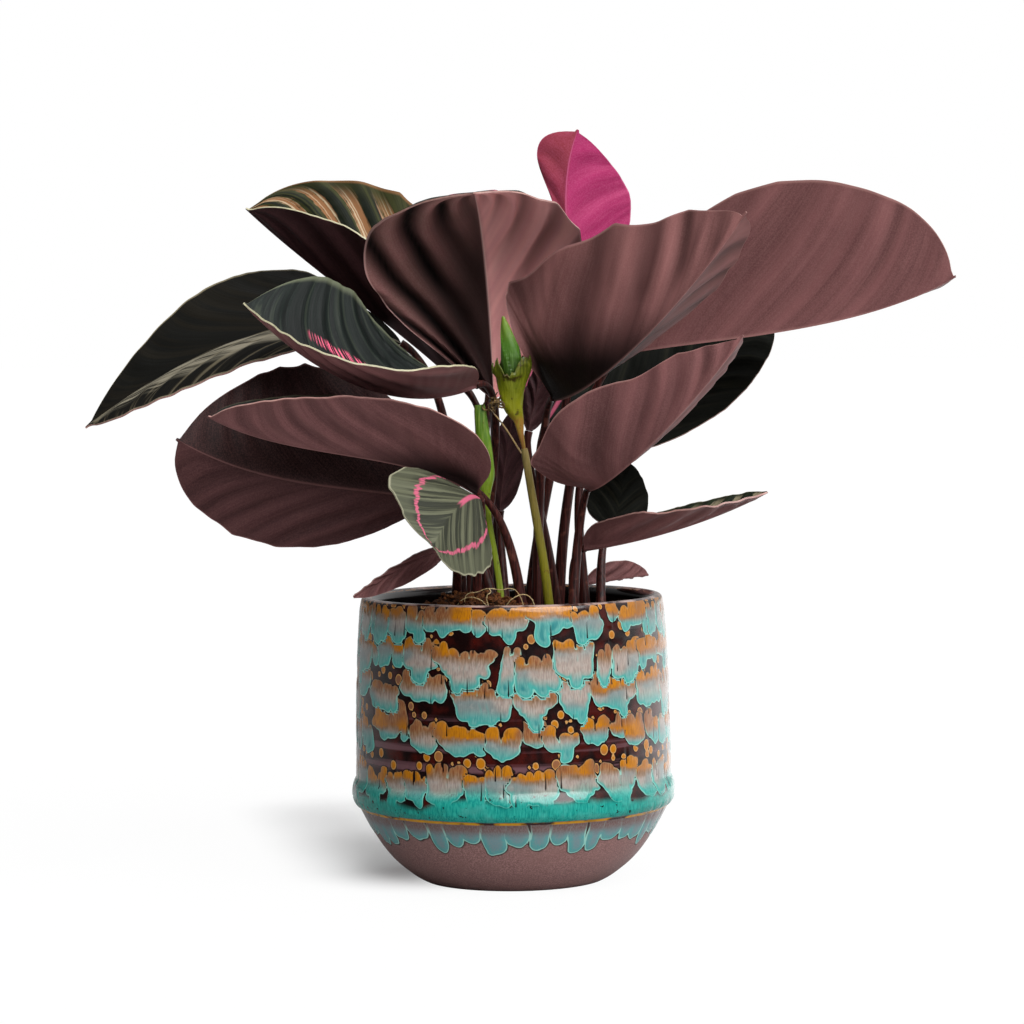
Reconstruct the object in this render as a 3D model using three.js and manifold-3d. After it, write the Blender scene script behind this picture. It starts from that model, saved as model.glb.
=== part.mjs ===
// A dottie calathea in a round glazed pot: folded, pleated leaves on thin stalks that stand in soil.
// Millimetres, +Z up. The origin is the middle of the pot's foot, and the front of the plant faces -Y.
import * as THREE from "three";
import { mergeVertices } from "three/addons/utils/BufferGeometryUtils.js";
import Module from "manifold-3d";

// Pot
const POT_HEIGHT = 136;
const RIM_RADIUS = 72.5;
const WAIST_RADIUS = 75.5;
const LEDGE_RADIUS = 77.5;
const LEDGE_HEIGHT = 40;
const BOWL_TOP = 35.5;
const FOOT_RADIUS = 43;
const MOUTH_RADIUS = 65;
const INNER_RADIUS = 68;
const FLOOR_RADIUS = 38;
const FLOOR_HEIGHT = 7;
const POT_SIDES = 40;
const STEPS_PER_CURVE = 4;
// The pot's section, radius then height: two handles and an end for each curve.
const POT_CURVES = {
  bowl: [[56, 6], [63.5, 14], [LEDGE_RADIUS - 3.5, BOWL_TOP]],
  ledge: [[78.1, 37], [78.5, LEDGE_HEIGHT + 5], [WAIST_RADIUS, 50]],
  wall: [[WAIST_RADIUS, 80], [74.5, 116], [RIM_RADIUS, POT_HEIGHT - 3]],
  lip: [[72, POT_HEIGHT + 1], [66, POT_HEIGHT + 1], [MOUTH_RADIUS, POT_HEIGHT - 4]],
  inside: [[INNER_RADIUS, 116], [INNER_RADIUS, 70], [INNER_RADIUS, 45]],
  floor: [[INNER_RADIUS, 24], [56, 12], [FLOOR_RADIUS, FLOOR_HEIGHT]],
};

// Soil
const SOIL_GAP = 0.55;
const SOIL_LEVEL = 121;
const MOUND_HEIGHT = 16;
const MOUND_SPREAD = 26;
const MOUND_PLACE = new THREE.Vector2(-18, -34);
const SOIL_BUMP = 0.9;
const SOIL_SIDES = 28;
const SOIL_CURVE_STEPS = 3;
const SOIL_EDGE = 3;
const SOIL_RINGS = [0.82, 0.64, 0.46, 0.28, 0.12, 0];
const HOLE_CLEARANCE = 0.35;

// Leaves and stalks
const BLADE_THICKNESS = 0.8;
const RIB_DEPTH = 1.1;
const PLEAT_DEPTH = 1.3;
const PLEAT_REACH = 1.6;
const VEIN_SLANT = 0.15;
const VEIN_CURVE = 1.5;
const TIP_START = 0.985;
const TIP_HALF_WIDTH = 1.1;
const END_HALF_WIDTH = 0.5;
const BASE_HALF_WIDTH = 1.5;
const WIDEST_PLACE = 0.45;
const ROUNDNESS = 0.58;
const ACROSS = [0, 0.36, 0.7, 1];
const STALK_FOOT_HEIGHT = 108;
const STALK_FOOT_RADIUS = 3;
const STALK_TOP_RADIUS = 1.6;
const STALK_JOINT_RADIUS = 2;
const STALK_JOINT_PLACE = 0.9;
const STALK_STEPS = 8;
const STALK_SIDES = 6;
const JOINT_GAP = 0.35;

const wasm = await Module();
wasm.setup();

const material = (color, roughness) => new THREE.MeshStandardMaterial({ color, roughness, metalness: 0 });
const FINISH = {
  glaze: material(0x4f8f8a, 0.15),
  soil: material(0x3a2719, 0.95),
  blade: material(0x4a2a32, 0.5),
  youngBlade: material(0xa83a68, 0.45),
  stalk: material(0x4a2620, 0.5),
  shoot: material(0x9db51c, 0.45),
};

const vector = ([x, y, z]) => new THREE.Vector3(x, y, z);

// A closed solid through rings of points. Each ring has an even count, its first half on one face and
// its second half coming back on the other, and both faces are split into triangles alike.
function loft(rings) {
  const count = rings[0].length;
  const half = count / 2;
  const index = [];
  for (let row = 0; row < rings.length - 1; row += 1) {
    for (let i = 0; i < count; i += 1) {
      const next = (i + 1) % count;
      const [a, b] = [row * count + i, row * count + next];
      const [d, c] = [a + count, b + count];
      if (i < half) index.push(a, b, c, a, c, d);
      else index.push(a, b, d, b, c, d);
    }
  }
  const last = (rings.length - 1) * count;
  for (let i = 0; i < half - 1; i += 1) {
    const back = count - 1 - i;
    index.push(i, back, back - 1, i, back - 1, i + 1);
    index.push(last + i, last + back - 1, last + back, last + i, last + i + 1, last + back - 1);
  }
  const geometry = new THREE.BufferGeometry();
  const points = rings.flat();
  const volume = triples(index).reduce((sum, [a, b, c]) => {
    return sum + points[a].dot(new THREE.Vector3().crossVectors(points[b], points[c]));
  }, 0);
  geometry.setFromPoints(points);
  geometry.setIndex(volume < 0 ? triples(index).flatMap(([a, b, c]) => [a, c, b]) : index);
  return geometry;
}

function triples(index) {
  const out = [];
  for (let i = 0; i < index.length; i += 3) out.push(index.slice(i, i + 3));
  return out;
}

// Joining and cutting
function toSolid(geometry) {
  const bare = geometry.clone();
  bare.deleteAttribute("normal");
  bare.deleteAttribute("uv");
  const merged = mergeVertices(bare, 0.001);
  const vertProperties = Float32Array.from(merged.getAttribute("position").array);
  const triVerts = Uint32Array.from(merged.getIndex().array);
  return new wasm.Manifold(new wasm.Mesh({ numProp: 3, vertProperties, triVerts }));
}

function toGeometry(solid) {
  const mesh = solid.getMesh();
  const geometry = new THREE.BufferGeometry();
  geometry.setAttribute("position", new THREE.BufferAttribute(Float32Array.from(mesh.vertProperties), 3));
  geometry.setIndex(Array.from(mesh.triVerts));
  return geometry;
}

// The pot is turned from one closed profile, and its wall runs from the flat foot round the lip to the floor.
function potGeometry() {
  const profile = new THREE.Path();
  profile.moveTo(0, 0);
  profile.lineTo(FOOT_RADIUS, 0);
  for (const points of Object.values(POT_CURVES)) profile.bezierCurveTo(...points.flat());
  profile.lineTo(0, FLOOR_HEIGHT);
  const turned = new THREE.LatheGeometry(profile.getPoints(STEPS_PER_CURVE), POT_SIDES);
  turned.rotateX(Math.PI / 2);
  return toGeometry(toSolid(turned));
}

// The height of the soil over a place: level, with one low mound and small lumps.
function soilHeight(x, y) {
  const away = MOUND_PLACE.distanceTo(new THREE.Vector2(x, y)) / MOUND_SPREAD;
  const lumps = Math.sin(x * 0.31 + 1.3) * Math.cos(y * 0.27) + 0.6 * Math.sin(x * 0.13 - y * 0.19);
  return SOIL_LEVEL + MOUND_HEIGHT * Math.exp(-away * away / 2) + SOIL_BUMP * lumps;
}

function soilGeometry(stalks) {
  const wall = INNER_RADIUS - SOIL_GAP;
  const profile = new THREE.Path();
  profile.moveTo(0, FLOOR_HEIGHT + SOIL_GAP);
  profile.lineTo(FLOOR_RADIUS - 1, FLOOR_HEIGHT + SOIL_GAP);
  profile.quadraticCurveTo(wall - SOIL_EDGE, 20, wall - SOIL_EDGE / 4, 46);
  profile.lineTo(wall - SOIL_EDGE / 2, SOIL_LEVEL - SOIL_EDGE);
  profile.lineTo(wall - SOIL_EDGE, SOIL_LEVEL);
  for (const share of SOIL_RINGS) profile.lineTo(wall * share, SOIL_LEVEL);
  const turned = new THREE.LatheGeometry(profile.getPoints(SOIL_CURVE_STEPS), SOIL_SIDES);
  turned.rotateX(Math.PI / 2);
  const place = turned.getAttribute("position");
  for (let i = 0; i < place.count; i += 1) {
    if (place.getZ(i) > SOIL_LEVEL - 1) place.setZ(i, soilHeight(place.getX(i), place.getY(i)));
  }
  return toGeometry(stalks.reduce((soil, stalk) => soil.subtract(toSolid(stalk)), toSolid(turned)));
}

// How wide half a blade is at a share of its length, from 0 at the base to 1 at the pointed tip.
function halfWidth(share, wide, widest, roundness) {
  if (share >= TIP_START) {
    return THREE.MathUtils.mapLinear(share, TIP_START, 1, TIP_HALF_WIDTH, END_HALF_WIDTH);
  }
  const place = (share / TIP_START) ** (Math.log(0.5) / Math.log(widest));
  const round = Math.sin(Math.PI * place) ** roundness;
  const least = THREE.MathUtils.lerp(BASE_HALF_WIDTH, TIP_HALF_WIDTH, share);
  return Math.max(least, wide * round);
}

// A point of the blade's middle surface, with the way the upper face looks there.
// side is 1 for the right half and -1 for the left, share runs along the margin, out from rib to margin.
// Each half runs from the rib in its own way, and slant lets it leave the rib at other than a right angle.
function bladePoint(leaf, side, share, out) {
  const half = side > 0 ? leaf.right : leaf.left;
  const start = share - VEIN_SLANT * Math.sin(Math.PI * share);
  const along = THREE.MathUtils.lerp(start, share, out ** VEIN_CURVE);
  const rib = leaf.ribCurve.getPoint(along);
  const forward = leaf.ribCurve.getTangent(along);
  const way = vector(half.from).normalize().lerp(vector(half.to ?? half.from).normalize(), along);
  const square = 1 - (leaf.slant ?? 0) * Math.min(1, 4 * along);
  way.addScaledVector(forward, -way.dot(forward) * square).normalize();
  const upper = new THREE.Vector3().crossVectors(way, forward).normalize().multiplyScalar(side);
  const bend = THREE.MathUtils.degToRad(half.curl || 0.01);
  const widest = half.widest ?? leaf.widest ?? WIDEST_PLACE;
  const width = halfWidth(share, half.wide, widest, half.round ?? leaf.round ?? ROUNDNESS);
  const ends = Math.sin(Math.PI * Math.min(1, share / TIP_START)) ** 0.5;
  const pleat = PLEAT_DEPTH * Math.cos(Math.PI * share / TIP_START * leaf.steps) * ends;
  const sink = width * (1 - Math.cos(bend * out)) / bend;
  const point = rib.addScaledVector(way, width * Math.sin(bend * out) / bend);
  point.addScaledVector(upper, sink + pleat * Math.min(1, PLEAT_REACH * out));
  return { point, upper };
}

// One blade: a thin folded sheet, pleated along its side veins, with the midrib raised on its underside.
function bladeGeometry(leaf) {
  const shares = Array.from({ length: leaf.steps + 1 }, (_, i) => i / leaf.steps * TIP_START);
  const rings = [...shares, 1].map((share) => {
    const row = [...ACROSS].reverse().map((out) => bladePoint(leaf, -1, share, out));
    const rightRow = ACROSS.map((out) => bladePoint(leaf, 1, share, out));
    const middle = row[row.length - 1];
    middle.upper.add(rightRow[0].upper).normalize();
    row.push(...rightRow.slice(1));
    const top = row.map(({ point, upper }) => point.clone().addScaledVector(upper, BLADE_THICKNESS / 2));
    const under = row.map(({ point, upper }, i) => {
      const rib = i === ACROSS.length - 1 ? RIB_DEPTH * (1 - share) : 0;
      return point.clone().addScaledVector(upper, -BLADE_THICKNESS / 2 - rib);
    });
    return [...top, ...under.reverse()];
  });
  return loft(rings);
}

// A round stem along a curve. The radius follows a rule from 0 at the foot to 1 at the top, and extra makes
// the stem longer at the foot.
function stemGeometry(curve, steps, sides, radiusAt, extra = 0) {
  const frames = curve.computeFrenetFrames(steps, false);
  const rings = frames.tangents.map((forward, step) => {
    const centre = curve.getPointAt(step / steps);
    if (step === 0) centre.addScaledVector(forward, -extra);
    return Array.from({ length: sides }, (_, k) => {
      const turn = 2 * Math.PI * (k + 0.5) / sides;
      const out = frames.normals[step].clone().multiplyScalar(Math.cos(turn));
      out.addScaledVector(frames.binormals[step], Math.sin(turn));
      return centre.clone().addScaledVector(out, radiusAt(step / steps, turn));
    });
  });
  return loft(rings);
}

// A stalk thins towards its top and swells a little just under the blade.
function stalkRadius(share) {
  if (share > STALK_JOINT_PLACE) return STALK_JOINT_RADIUS;
  return THREE.MathUtils.lerp(STALK_FOOT_RADIUS, STALK_TOP_RADIUS, share / STALK_JOINT_PLACE);
}

// The stalk leaves the soil, swings over and runs into the midrib.
function stalkCurve(leaf) {
  const forward = leaf.ribCurve.getTangent(0);
  const top = leaf.ribCurve.getPoint(0).addScaledVector(forward, -JOINT_GAP);
  const foot = new THREE.Vector3(leaf.foot[0], leaf.foot[1], STALK_FOOT_HEIGHT);
  const [rise, reach] = leaf.swing;
  const low = foot.clone().setZ(foot.z + rise);
  const high = top.clone().addScaledVector(forward, -reach);
  return new THREE.CubicBezierCurve3(foot, low, high, top);
}

// rib holds the four places that shape the midrib, foot where the stalk stands, and swing how far the stalk
// keeps upright at its foot and in line with the midrib at its top. Each half has a way, a width and a curl.
const LEAVES = [
  {
    name: "far_left", steps: 12, foot: [-24, 20], swing: [60, 30], slant: 0.5,
    rib: [[-52, 14, 256], [-95, 6, 280], [-150, -8, 256], [-199, -24, 218]],
    left: { from: [0.1, -0.95, -0.1], to: [0.1, -0.95, -0.3], wide: 42, curl: -10 },
    right: { from: [0.2, 1, 0.14], to: [0.4, 0.3, 0.87], wide: 80, curl: -20, widest: 0.35, round: 0.8 },
  },
  {
    name: "upper_left", steps: 12, foot: [-12, 34], swing: [50, 25], widest: 0.5,
    rib: [[-22, 44, 234], [-52, 52, 263], [-95, 48, 291], [-127, 38, 322]],
    left: { from: [0.36, -0.8, 0.45], wide: 44, curl: 10 },
    right: { from: [0.45, 0.3, 0.8], wide: 56, curl: 10, widest: 0.54, round: 0.52 },
  },
  {
    name: "centre", steps: 12, foot: [-6, 10], swing: [50, 25], widest: 0.58, round: 0.48,
    rib: [[-8, 16, 229], [-9, 22, 285], [-13, -26, 321], [-15, -92, 323]],
    left: { from: [0.9, 0.2, 0], to: [0.95, 0.1, 0.35], wide: 48, curl: -30, widest: 0.52, round: 0.6 },
    right: { from: [-1, -0.3, 0], to: [-1, 0, 0.05], wide: 57, curl: -15, round: 0.62 },
  },
  {
    name: "front_right", steps: 14, foot: [12, -14], swing: [50, 22], round: 0.8, slant: 1,
    rib: [[21, -32, 230], [34, -74, 228], [73, -108, 265], [105, -120, 312]],
    left: { from: [0.1, 0.95, 0.2], to: [0.4, 0.9, 0], wide: 54, curl: 0, widest: 0.55, round: 0.5 },
    right: { from: [-0.7, 0.45, 0.65], to: [0, 0.25, 1], wide: 66, curl: 0, widest: 0.33 },
  },
  {
    name: "far_right", steps: 14, foot: [22, 2], swing: [50, 30], widest: 0.5, round: 0.55, slant: 1,
    rib: [[60, -10, 252], [105, -22, 258], [165, -42, 260], [205, -58, 284]],
    left: { from: [0.1, 0.75, 0.65], to: [0.1, 1, -0.08], wide: 58, curl: 0 },
    right: { from: [-0.2, -0.15, 1], to: [0.05, -0.15, 1], wide: 69, curl: 0, widest: 0.48, round: 0.6 },
  },
  {
    name: "young_top", steps: 8, foot: [8, 22], swing: [60, 30], young: true,
    rib: [[32, 22, 262], [31, 20, 300], [22, 17, 326], [34, 14, 357]],
    left: { from: [0.9, 0.35, 0.1], wide: 34, curl: 0, widest: 0.58 },
    right: { from: [-1, 0.15, 0.1], wide: 17, curl: 20, widest: 0.88, round: 0.7 },
  },
  {
    name: "low_right", steps: 12, foot: [28, -34], swing: [30, 18], round: 1, slant: 1,
    rib: [[37, -40, 188], [46, -78, 190], [84, -104, 228], [104, -108, 258]],
    left: { from: [0.15, 0.95, 0.15], to: [0.25, 0.95, 0.05], wide: 38, curl: 0, round: 0.5 },
    right: { from: [-1, 0, 0.1], to: [-0.5, 0.1, 0.85], wide: 42, curl: 0, widest: 0.33 },
  },
  {
    name: "shaded_right", steps: 10, foot: [36, 12], swing: [40, 20],
    rib: [[42, 20, 204], [72, 28, 224], [104, 42, 250], [130, 50, 264]],
    left: { from: [-0.4, 0.5, 0.7], wide: 40, curl: 0 },
    right: { from: [0.45, -0.5, -0.65], wide: 24, curl: 0, widest: 0.5 },
  },
  {
    name: "narrow_right", steps: 10, foot: [31, -10], swing: [20, 12],
    rib: [[35, -25, 159], [60, -42, 163], [92, -54, 172], [118, -60, 186]],
    left: { from: [-0.1, 0.7, 0.65], wide: 13, curl: 0 },
    right: { from: [-0.25, -0.6, 0.75], to: [0, -0.95, 0.2], wide: 21, curl: 0 },
  },
  {
    name: "rim_right", steps: 8, foot: [27, 24], swing: [12, 6],
    rib: [[36, 28, 139], [48, 32, 140], [58, 40, 141], [67, 46, 141]],
    left: { from: [0.1, 0.9, -0.05], wide: 10, curl: 0 },
    right: { from: [0, -0.2, 1], wide: 9, curl: 0 },
  },
  {
    name: "round_right", steps: 8, foot: [43, 2], swing: [20, 14],
    rib: [[48, 24, 166], [52, 30, 170], [56, 42, 184], [55, 54, 198]],
    left: { from: [-1, 0, 0], wide: 16, curl: 0 },
    right: { from: [1, 0.1, 0], wide: 14, curl: 0 },
  },
  {
    name: "cupped_left", steps: 12, foot: [-16, -2], swing: [50, 26], widest: 0.5, round: 0.5,
    rib: [[-16, -36, 236], [-52, -60, 221], [-92, -78, 244], [-120, -76, 275]],
    left: { from: [0.2, -0.85, 0.45], to: [0.1, -0.95, 0.05], wide: 42, curl: 0, widest: 0.4, round: 0.7 },
    right: { from: [0.25, 0.5, 0.8], wide: 45, curl: 0, widest: 0.72, round: 0.44 },
  },
  {
    name: "lower_left", steps: 12, foot: [6, -34], swing: [30, 20], widest: 0.4, round: 0.5,
    rib: [[-16, -46, 187], [-50, -62, 209], [-100, -76, 203], [-136, -86, 224]],
    left: { from: [0.3, -0.6, 0.7], wide: 37, curl: 0 },
    right: { from: [0.35, 0.5, 0.8], wide: 30, curl: 0 },
  },
  {
    name: "broad_left", steps: 14, foot: [-6, -22], swing: [30, 20], round: 0.5,
    rib: [[-38, -16, 182], [-72, -28, 190], [-115, -42, 188], [-154, -50, 213]],
    left: { from: [0.5, 0.3, 0.9], to: [0.2, 0.3, 0.9], wide: 57, curl: 0, widest: 0.5, round: 0.42 },
    right: { from: [-0.2, 0.3, -0.9], wide: 34, curl: 0, widest: 0.6 },
  },
  {
    name: "hanging_front", steps: 10, foot: [-18, -32], swing: [40, 12], slant: 1,
    rib: [[-14, -54, 184], [-18, -72, 190], [-28, -92, 180], [-35, -99, 165]],
    left: { from: [0.3, 0.2, -0.95], wide: 34, curl: 0 },
    right: { from: [-0.85, -0.2, 0.43], wide: 35, curl: 0 },
  },
  {
    name: "pointed_left", steps: 8, foot: [-28, -10], swing: [20, 10],
    rib: [[-30, -30, 160], [-42, -38, 158], [-58, -46, 148], [-73, -52, 139]],
    left: { from: [0.2, -0.3, 0.9], wide: 3, curl: 0 },
    right: { from: [-0.3, -0.2, -0.9], wide: 8, curl: 0 },
  },
  {
    name: "back_left", steps: 10, foot: [-22, 38], swing: [60, 25],
    rib: [[-12, 62, 262], [-24, 84, 280], [-44, 108, 290], [-62, 130, 284]],
    left: { from: [-0.8, -0.2, 0.1], wide: 36, curl: 0 },
    right: { from: [0.8, 0.2, 0.1], wide: 40, curl: 0 },
  },
  {
    name: "back_right", steps: 10, foot: [18, 38], swing: [50, 25],
    rib: [[18, 46, 216], [30, 68, 238], [46, 98, 252], [62, 124, 246]],
    left: { from: [-0.8, 0.2, 0.2], wide: 36, curl: 0 },
    right: { from: [0.8, -0.2, 0.1], wide: 40, curl: 0 },
  },
  {
    name: "dark_middle", steps: 8, foot: [-2, -4], swing: [20, 14],
    rib: [[-5, 2, 176], [-4, 0, 190], [-1, -2, 206], [2, -2, 224]],
    left: { from: [1, 0.2, 0], wide: 9, curl: 0 },
    right: { from: [-1, 0.2, 0], wide: 9, curl: 0 },
  },
  {
    name: "inner_right", steps: 8, foot: [22, -4], swing: [50, 16],
    rib: [[9, -13, 214], [12, -11, 226], [14, -9, 237], [16, -8, 247]],
    left: { from: [1, 0, 0], wide: 7, curl: 0 },
    right: { from: [-1, 0.2, 0], wide: 6, curl: 0 },
  },
];

// Young shoots: a stem that swells into a rolled green sheath. Places up the stem, each with its radius.
const SHOOTS = [
  {
    name: "open", steps: 18, sides: 10, flat: 0.25,
    path: [[20, -28, 108], [15.5, -34, 150], [8, -38, 200], [2, -38, 236], [-4, -38, 268]],
    radius: [
      [0, 2.4], [0.6, 2.1], [0.7, 2.2], [0.77, 5.4], [0.84, 8],
      [0.88, 9], [0.9, 5.4], [0.94, 4], [1, 0.7],
    ],
  },
  {
    name: "slim", steps: 14, sides: 8, flat: 0.35,
    path: [[-2, -34, 108], [-6, -35, 146], [-11, -36, 180], [-12, -36, 205], [-14, -36, 227]],
    radius: [[0, 1.8], [0.55, 1.3], [0.63, 1.6], [0.72, 4.6], [0.85, 3.6], [0.95, 2.6], [1, 1.4]],
  },
];

const plant = new THREE.Group();

function add(name, geometry, finish) {
  const mesh = new THREE.Mesh(geometry, finish);
  mesh.name = name;
  plant.add(mesh);
}

// A stem goes into the plant, and a slightly wider one into the holes that the soil leaves for it.
const holes = [];

function addStem(name, curve, steps, sides, radiusAt, finish) {
  add(name, stemGeometry(curve, steps, sides, radiusAt), finish);
  const wider = (share, turn) => radiusAt(share, turn) + HOLE_CLEARANCE;
  holes.push(stemGeometry(curve, steps, sides, wider, HOLE_CLEARANCE));
}

for (const leaf of LEAVES) {
  leaf.ribCurve = new THREE.CubicBezierCurve3(...leaf.rib.map(vector));
  add(`leaf_${leaf.name}`, bladeGeometry(leaf), leaf.young ? FINISH.youngBlade : FINISH.blade);
  addStem(`stalk_${leaf.name}`, stalkCurve(leaf), STALK_STEPS, STALK_SIDES, stalkRadius, FINISH.stalk);
}
for (const shoot of SHOOTS) {
  const curve = new THREE.CatmullRomCurve3(shoot.path.map(vector));
  const radiusAt = (share, turn) => {
    const next = Math.max(1, shoot.radius.findIndex(([place]) => place >= share));
    const [from, to] = [shoot.radius[next - 1], shoot.radius[next]];
    const round = THREE.MathUtils.mapLinear(share, from[0], to[0], from[1], to[1]);
    return round * (1 - shoot.flat / 2 + shoot.flat / 2 * Math.cos(2 * turn));
  };
  addStem(`shoot_${shoot.name}`, curve, shoot.steps, shoot.sides, radiusAt, FINISH.shoot);
}
add("pot", potGeometry(), FINISH.glaze);
add("soil", soilGeometry(holes), FINISH.soil);

export default plant;
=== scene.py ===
"""A potted dottie calathea: pleated, purple-backed leaves on thin stalks in a drip-glazed stoneware pot."""
import math
import random

import bpy
import numpy as np
from mathutils import Matrix, Vector, noise


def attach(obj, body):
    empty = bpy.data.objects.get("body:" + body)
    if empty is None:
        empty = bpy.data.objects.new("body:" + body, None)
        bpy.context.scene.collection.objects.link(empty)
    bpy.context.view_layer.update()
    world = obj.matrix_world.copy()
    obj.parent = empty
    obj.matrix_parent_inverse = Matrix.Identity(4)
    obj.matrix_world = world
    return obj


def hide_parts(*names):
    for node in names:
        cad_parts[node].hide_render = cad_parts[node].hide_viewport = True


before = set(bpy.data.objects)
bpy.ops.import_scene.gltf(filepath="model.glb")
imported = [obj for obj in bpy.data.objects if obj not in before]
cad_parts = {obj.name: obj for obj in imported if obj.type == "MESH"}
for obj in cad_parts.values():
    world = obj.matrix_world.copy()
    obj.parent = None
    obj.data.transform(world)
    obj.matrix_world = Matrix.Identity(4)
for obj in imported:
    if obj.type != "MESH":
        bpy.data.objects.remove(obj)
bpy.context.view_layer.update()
bpy.ops.object.select_all(action="DESELECT")
bpy.context.scene.view_settings.view_transform = "Standard"

MM = 0.001


def linear(colour):
    """A colour as it looks on a screen, such as 6a464c, turned into the shader's linear numbers."""
    parts = [int(colour[place:place + 2], 16) / 255 for place in (0, 2, 4)]
    return tuple(p / 12.92 if p <= 0.04045 else ((p + 0.055) / 1.055) ** 2.4 for p in parts) + (1.0,)


# ---------------------------------------------------------------- materials

class Nodes:
    """A node tree, with short ways to add to it."""

    def __init__(self, tree):
        self.tree = tree

    def node(self, kind, **settings):
        made = self.tree.nodes.new(kind)
        for key, value in settings.items():
            setattr(made, key, value)
        return made

    def join(self, value, socket):
        if isinstance(value, bpy.types.NodeSocket):
            self.tree.links.new(value, socket)
        else:
            socket.default_value = value

    def math(self, operation, *values, clamp=False):
        made = self.node("ShaderNodeMath", operation=operation, use_clamp=clamp)
        for value, socket in zip(values, made.inputs):
            self.join(value, socket)
        return made.outputs[0]

    def times(self, first, second, clamp=False):
        return self.math("MULTIPLY", first, second, clamp=clamp)

    def plus(self, first, second):
        return self.math("ADD", first, second)

    def scaled(self, value, by, shift):
        return self.math("MULTIPLY_ADD", value, by, shift)

    def parts_of(self, vector):
        made = self.node("ShaderNodeSeparateXYZ")
        self.join(vector, made.inputs[0])
        return made.outputs

    def span(self, value, low, high, to_low=0.0, to_high=1.0, smooth=True):
        """Turns low..high into to_low..to_high, held at both ends."""
        made = self.node("ShaderNodeMapRange", interpolation_type="SMOOTHSTEP" if smooth else "LINEAR")
        for entry, number in zip(made.inputs, (value, low, high, to_low, to_high)):
            self.join(number, entry)
        return made.outputs[0]

    def mix(self, factor, first, second):
        made = self.node("ShaderNodeMix", data_type="RGBA")
        for place, value in ((0, factor), (6, first), (7, second)):
            self.join(linear(value) if isinstance(value, str) else value, made.inputs[place])
        return made.outputs[2]

    def attribute(self, name):
        return self.node("ShaderNodeAttribute", attribute_name=name).outputs["Fac"]

    def noise(self, vector, scale, detail=3.0, roughness=0.55, distortion=0.0):
        made = self.node("ShaderNodeTexNoise")
        self.join(vector, made.inputs["Vector"])
        for socket, value in (("Scale", scale), ("Detail", detail), ("Roughness", roughness),
                              ("Distortion", distortion)):
            made.inputs[socket].default_value = value
        return made.outputs["Fac"]

    def drawn_out(self, vector, scale, detail, roughness=0.55, distortion=0.0):
        """Noise with a scale of its own in each direction."""
        made = self.node("ShaderNodeMapping")
        self.join(vector, made.inputs["Vector"])
        made.inputs["Scale"].default_value = scale
        return self.noise(made.outputs[0], 1.0, detail, roughness, distortion)

    def bump(self, height, strength, distance):
        made = self.node("ShaderNodeBump")
        made.inputs["Strength"].default_value = strength
        made.inputs["Distance"].default_value = distance
        self.join(height, made.inputs["Height"])
        return made.outputs[0]


class Finish(Nodes):
    """A material with its nodes."""

    def __init__(self, name, roughness=0.5, coat=0.0, coat_roughness=0.05, specular=0.5):
        self.material = bpy.data.materials.new(name)
        self.material.use_nodes = True
        super().__init__(self.material.node_tree)
        self.shader = self.tree.nodes["Principled BSDF"]
        for socket, value in (("Roughness", roughness), ("Coat Weight", coat),
                              ("Coat Roughness", coat_roughness), ("Specular IOR Level", specular)):
            self.shader.inputs[socket].default_value = value
        self.here = self.node("ShaderNodeTexCoord").outputs["Object"]

    def set(self, **sockets):
        for name, value in sockets.items():
            self.join(value, self.shader.inputs[name.replace("_", " ")])


# ---------------------------------------------------------------- helpers for pieces

def select_only(piece):
    bpy.ops.object.select_all(action="DESELECT")
    piece.select_set(True)
    bpy.context.view_layer.objects.active = piece


def apply_modifiers(piece):
    select_only(piece)
    for modifier in list(piece.modifiers):
        bpy.ops.object.modifier_apply(modifier=modifier.name)


def flat_sheet(name, along, across):
    """A flat grid from -1 to 1 both ways, to be shaped."""
    bpy.ops.object.select_all(action="DESELECT")
    bpy.ops.mesh.primitive_grid_add(x_subdivisions=along, y_subdivisions=across, size=2)
    piece = bpy.context.object
    piece.name = piece.data.name = name
    return piece


def close_and_face_out(piece, gap):
    select_only(piece)
    bpy.ops.object.mode_set(mode="EDIT")
    bpy.ops.mesh.select_all(action="SELECT")
    bpy.ops.mesh.remove_doubles(threshold=gap)
    bpy.ops.mesh.normals_make_consistent(inside=False)
    bpy.ops.object.mode_set(mode="OBJECT")


def finish_piece(piece, nodes=(), smooth_under=None):
    select_only(piece)
    if smooth_under is None:
        bpy.ops.object.shade_smooth()
    else:
        bpy.ops.object.shade_smooth_by_angle(angle=math.radians(smooth_under))
    bpy.ops.object.select_all(action="DESELECT")
    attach(piece, "root")
    if nodes:
        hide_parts(*nodes)
    return piece


def new_curve(name):
    bpy.ops.object.select_all(action="DESELECT")
    bpy.ops.curve.primitive_bezier_curve_add()
    piece = bpy.context.object
    piece.name = piece.data.name = name
    return piece


def curve_to_mesh(piece, radius, rounding, finish):
    """Gives the curve a round section and filled ends, and turns it into a mesh."""
    piece.data.bevel_depth, piece.data.bevel_resolution = radius * MM, rounding
    piece.data.resolution_u, piece.data.use_fill_caps = 5, True
    select_only(piece)
    bpy.ops.object.convert(target="MESH")
    piece = bpy.context.object
    piece.data.materials.clear()
    piece.data.materials.append(finish)
    return piece


def bezier(points, share):
    rest = 1 - share
    a, b, c, d = points
    return a * rest ** 3 + b * (3 * rest * rest * share) + c * (3 * rest * share * share) + d * share ** 3


def bezier_forward(points, share):
    share = min(1, max(0, share))
    rest = 1 - share
    a, b, c, d = points
    return ((b - a) * rest * rest + (c - b) * (2 * rest * share) + (d - c) * share * share).normalized()


# ---------------------------------------------------------------- leaves

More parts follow.
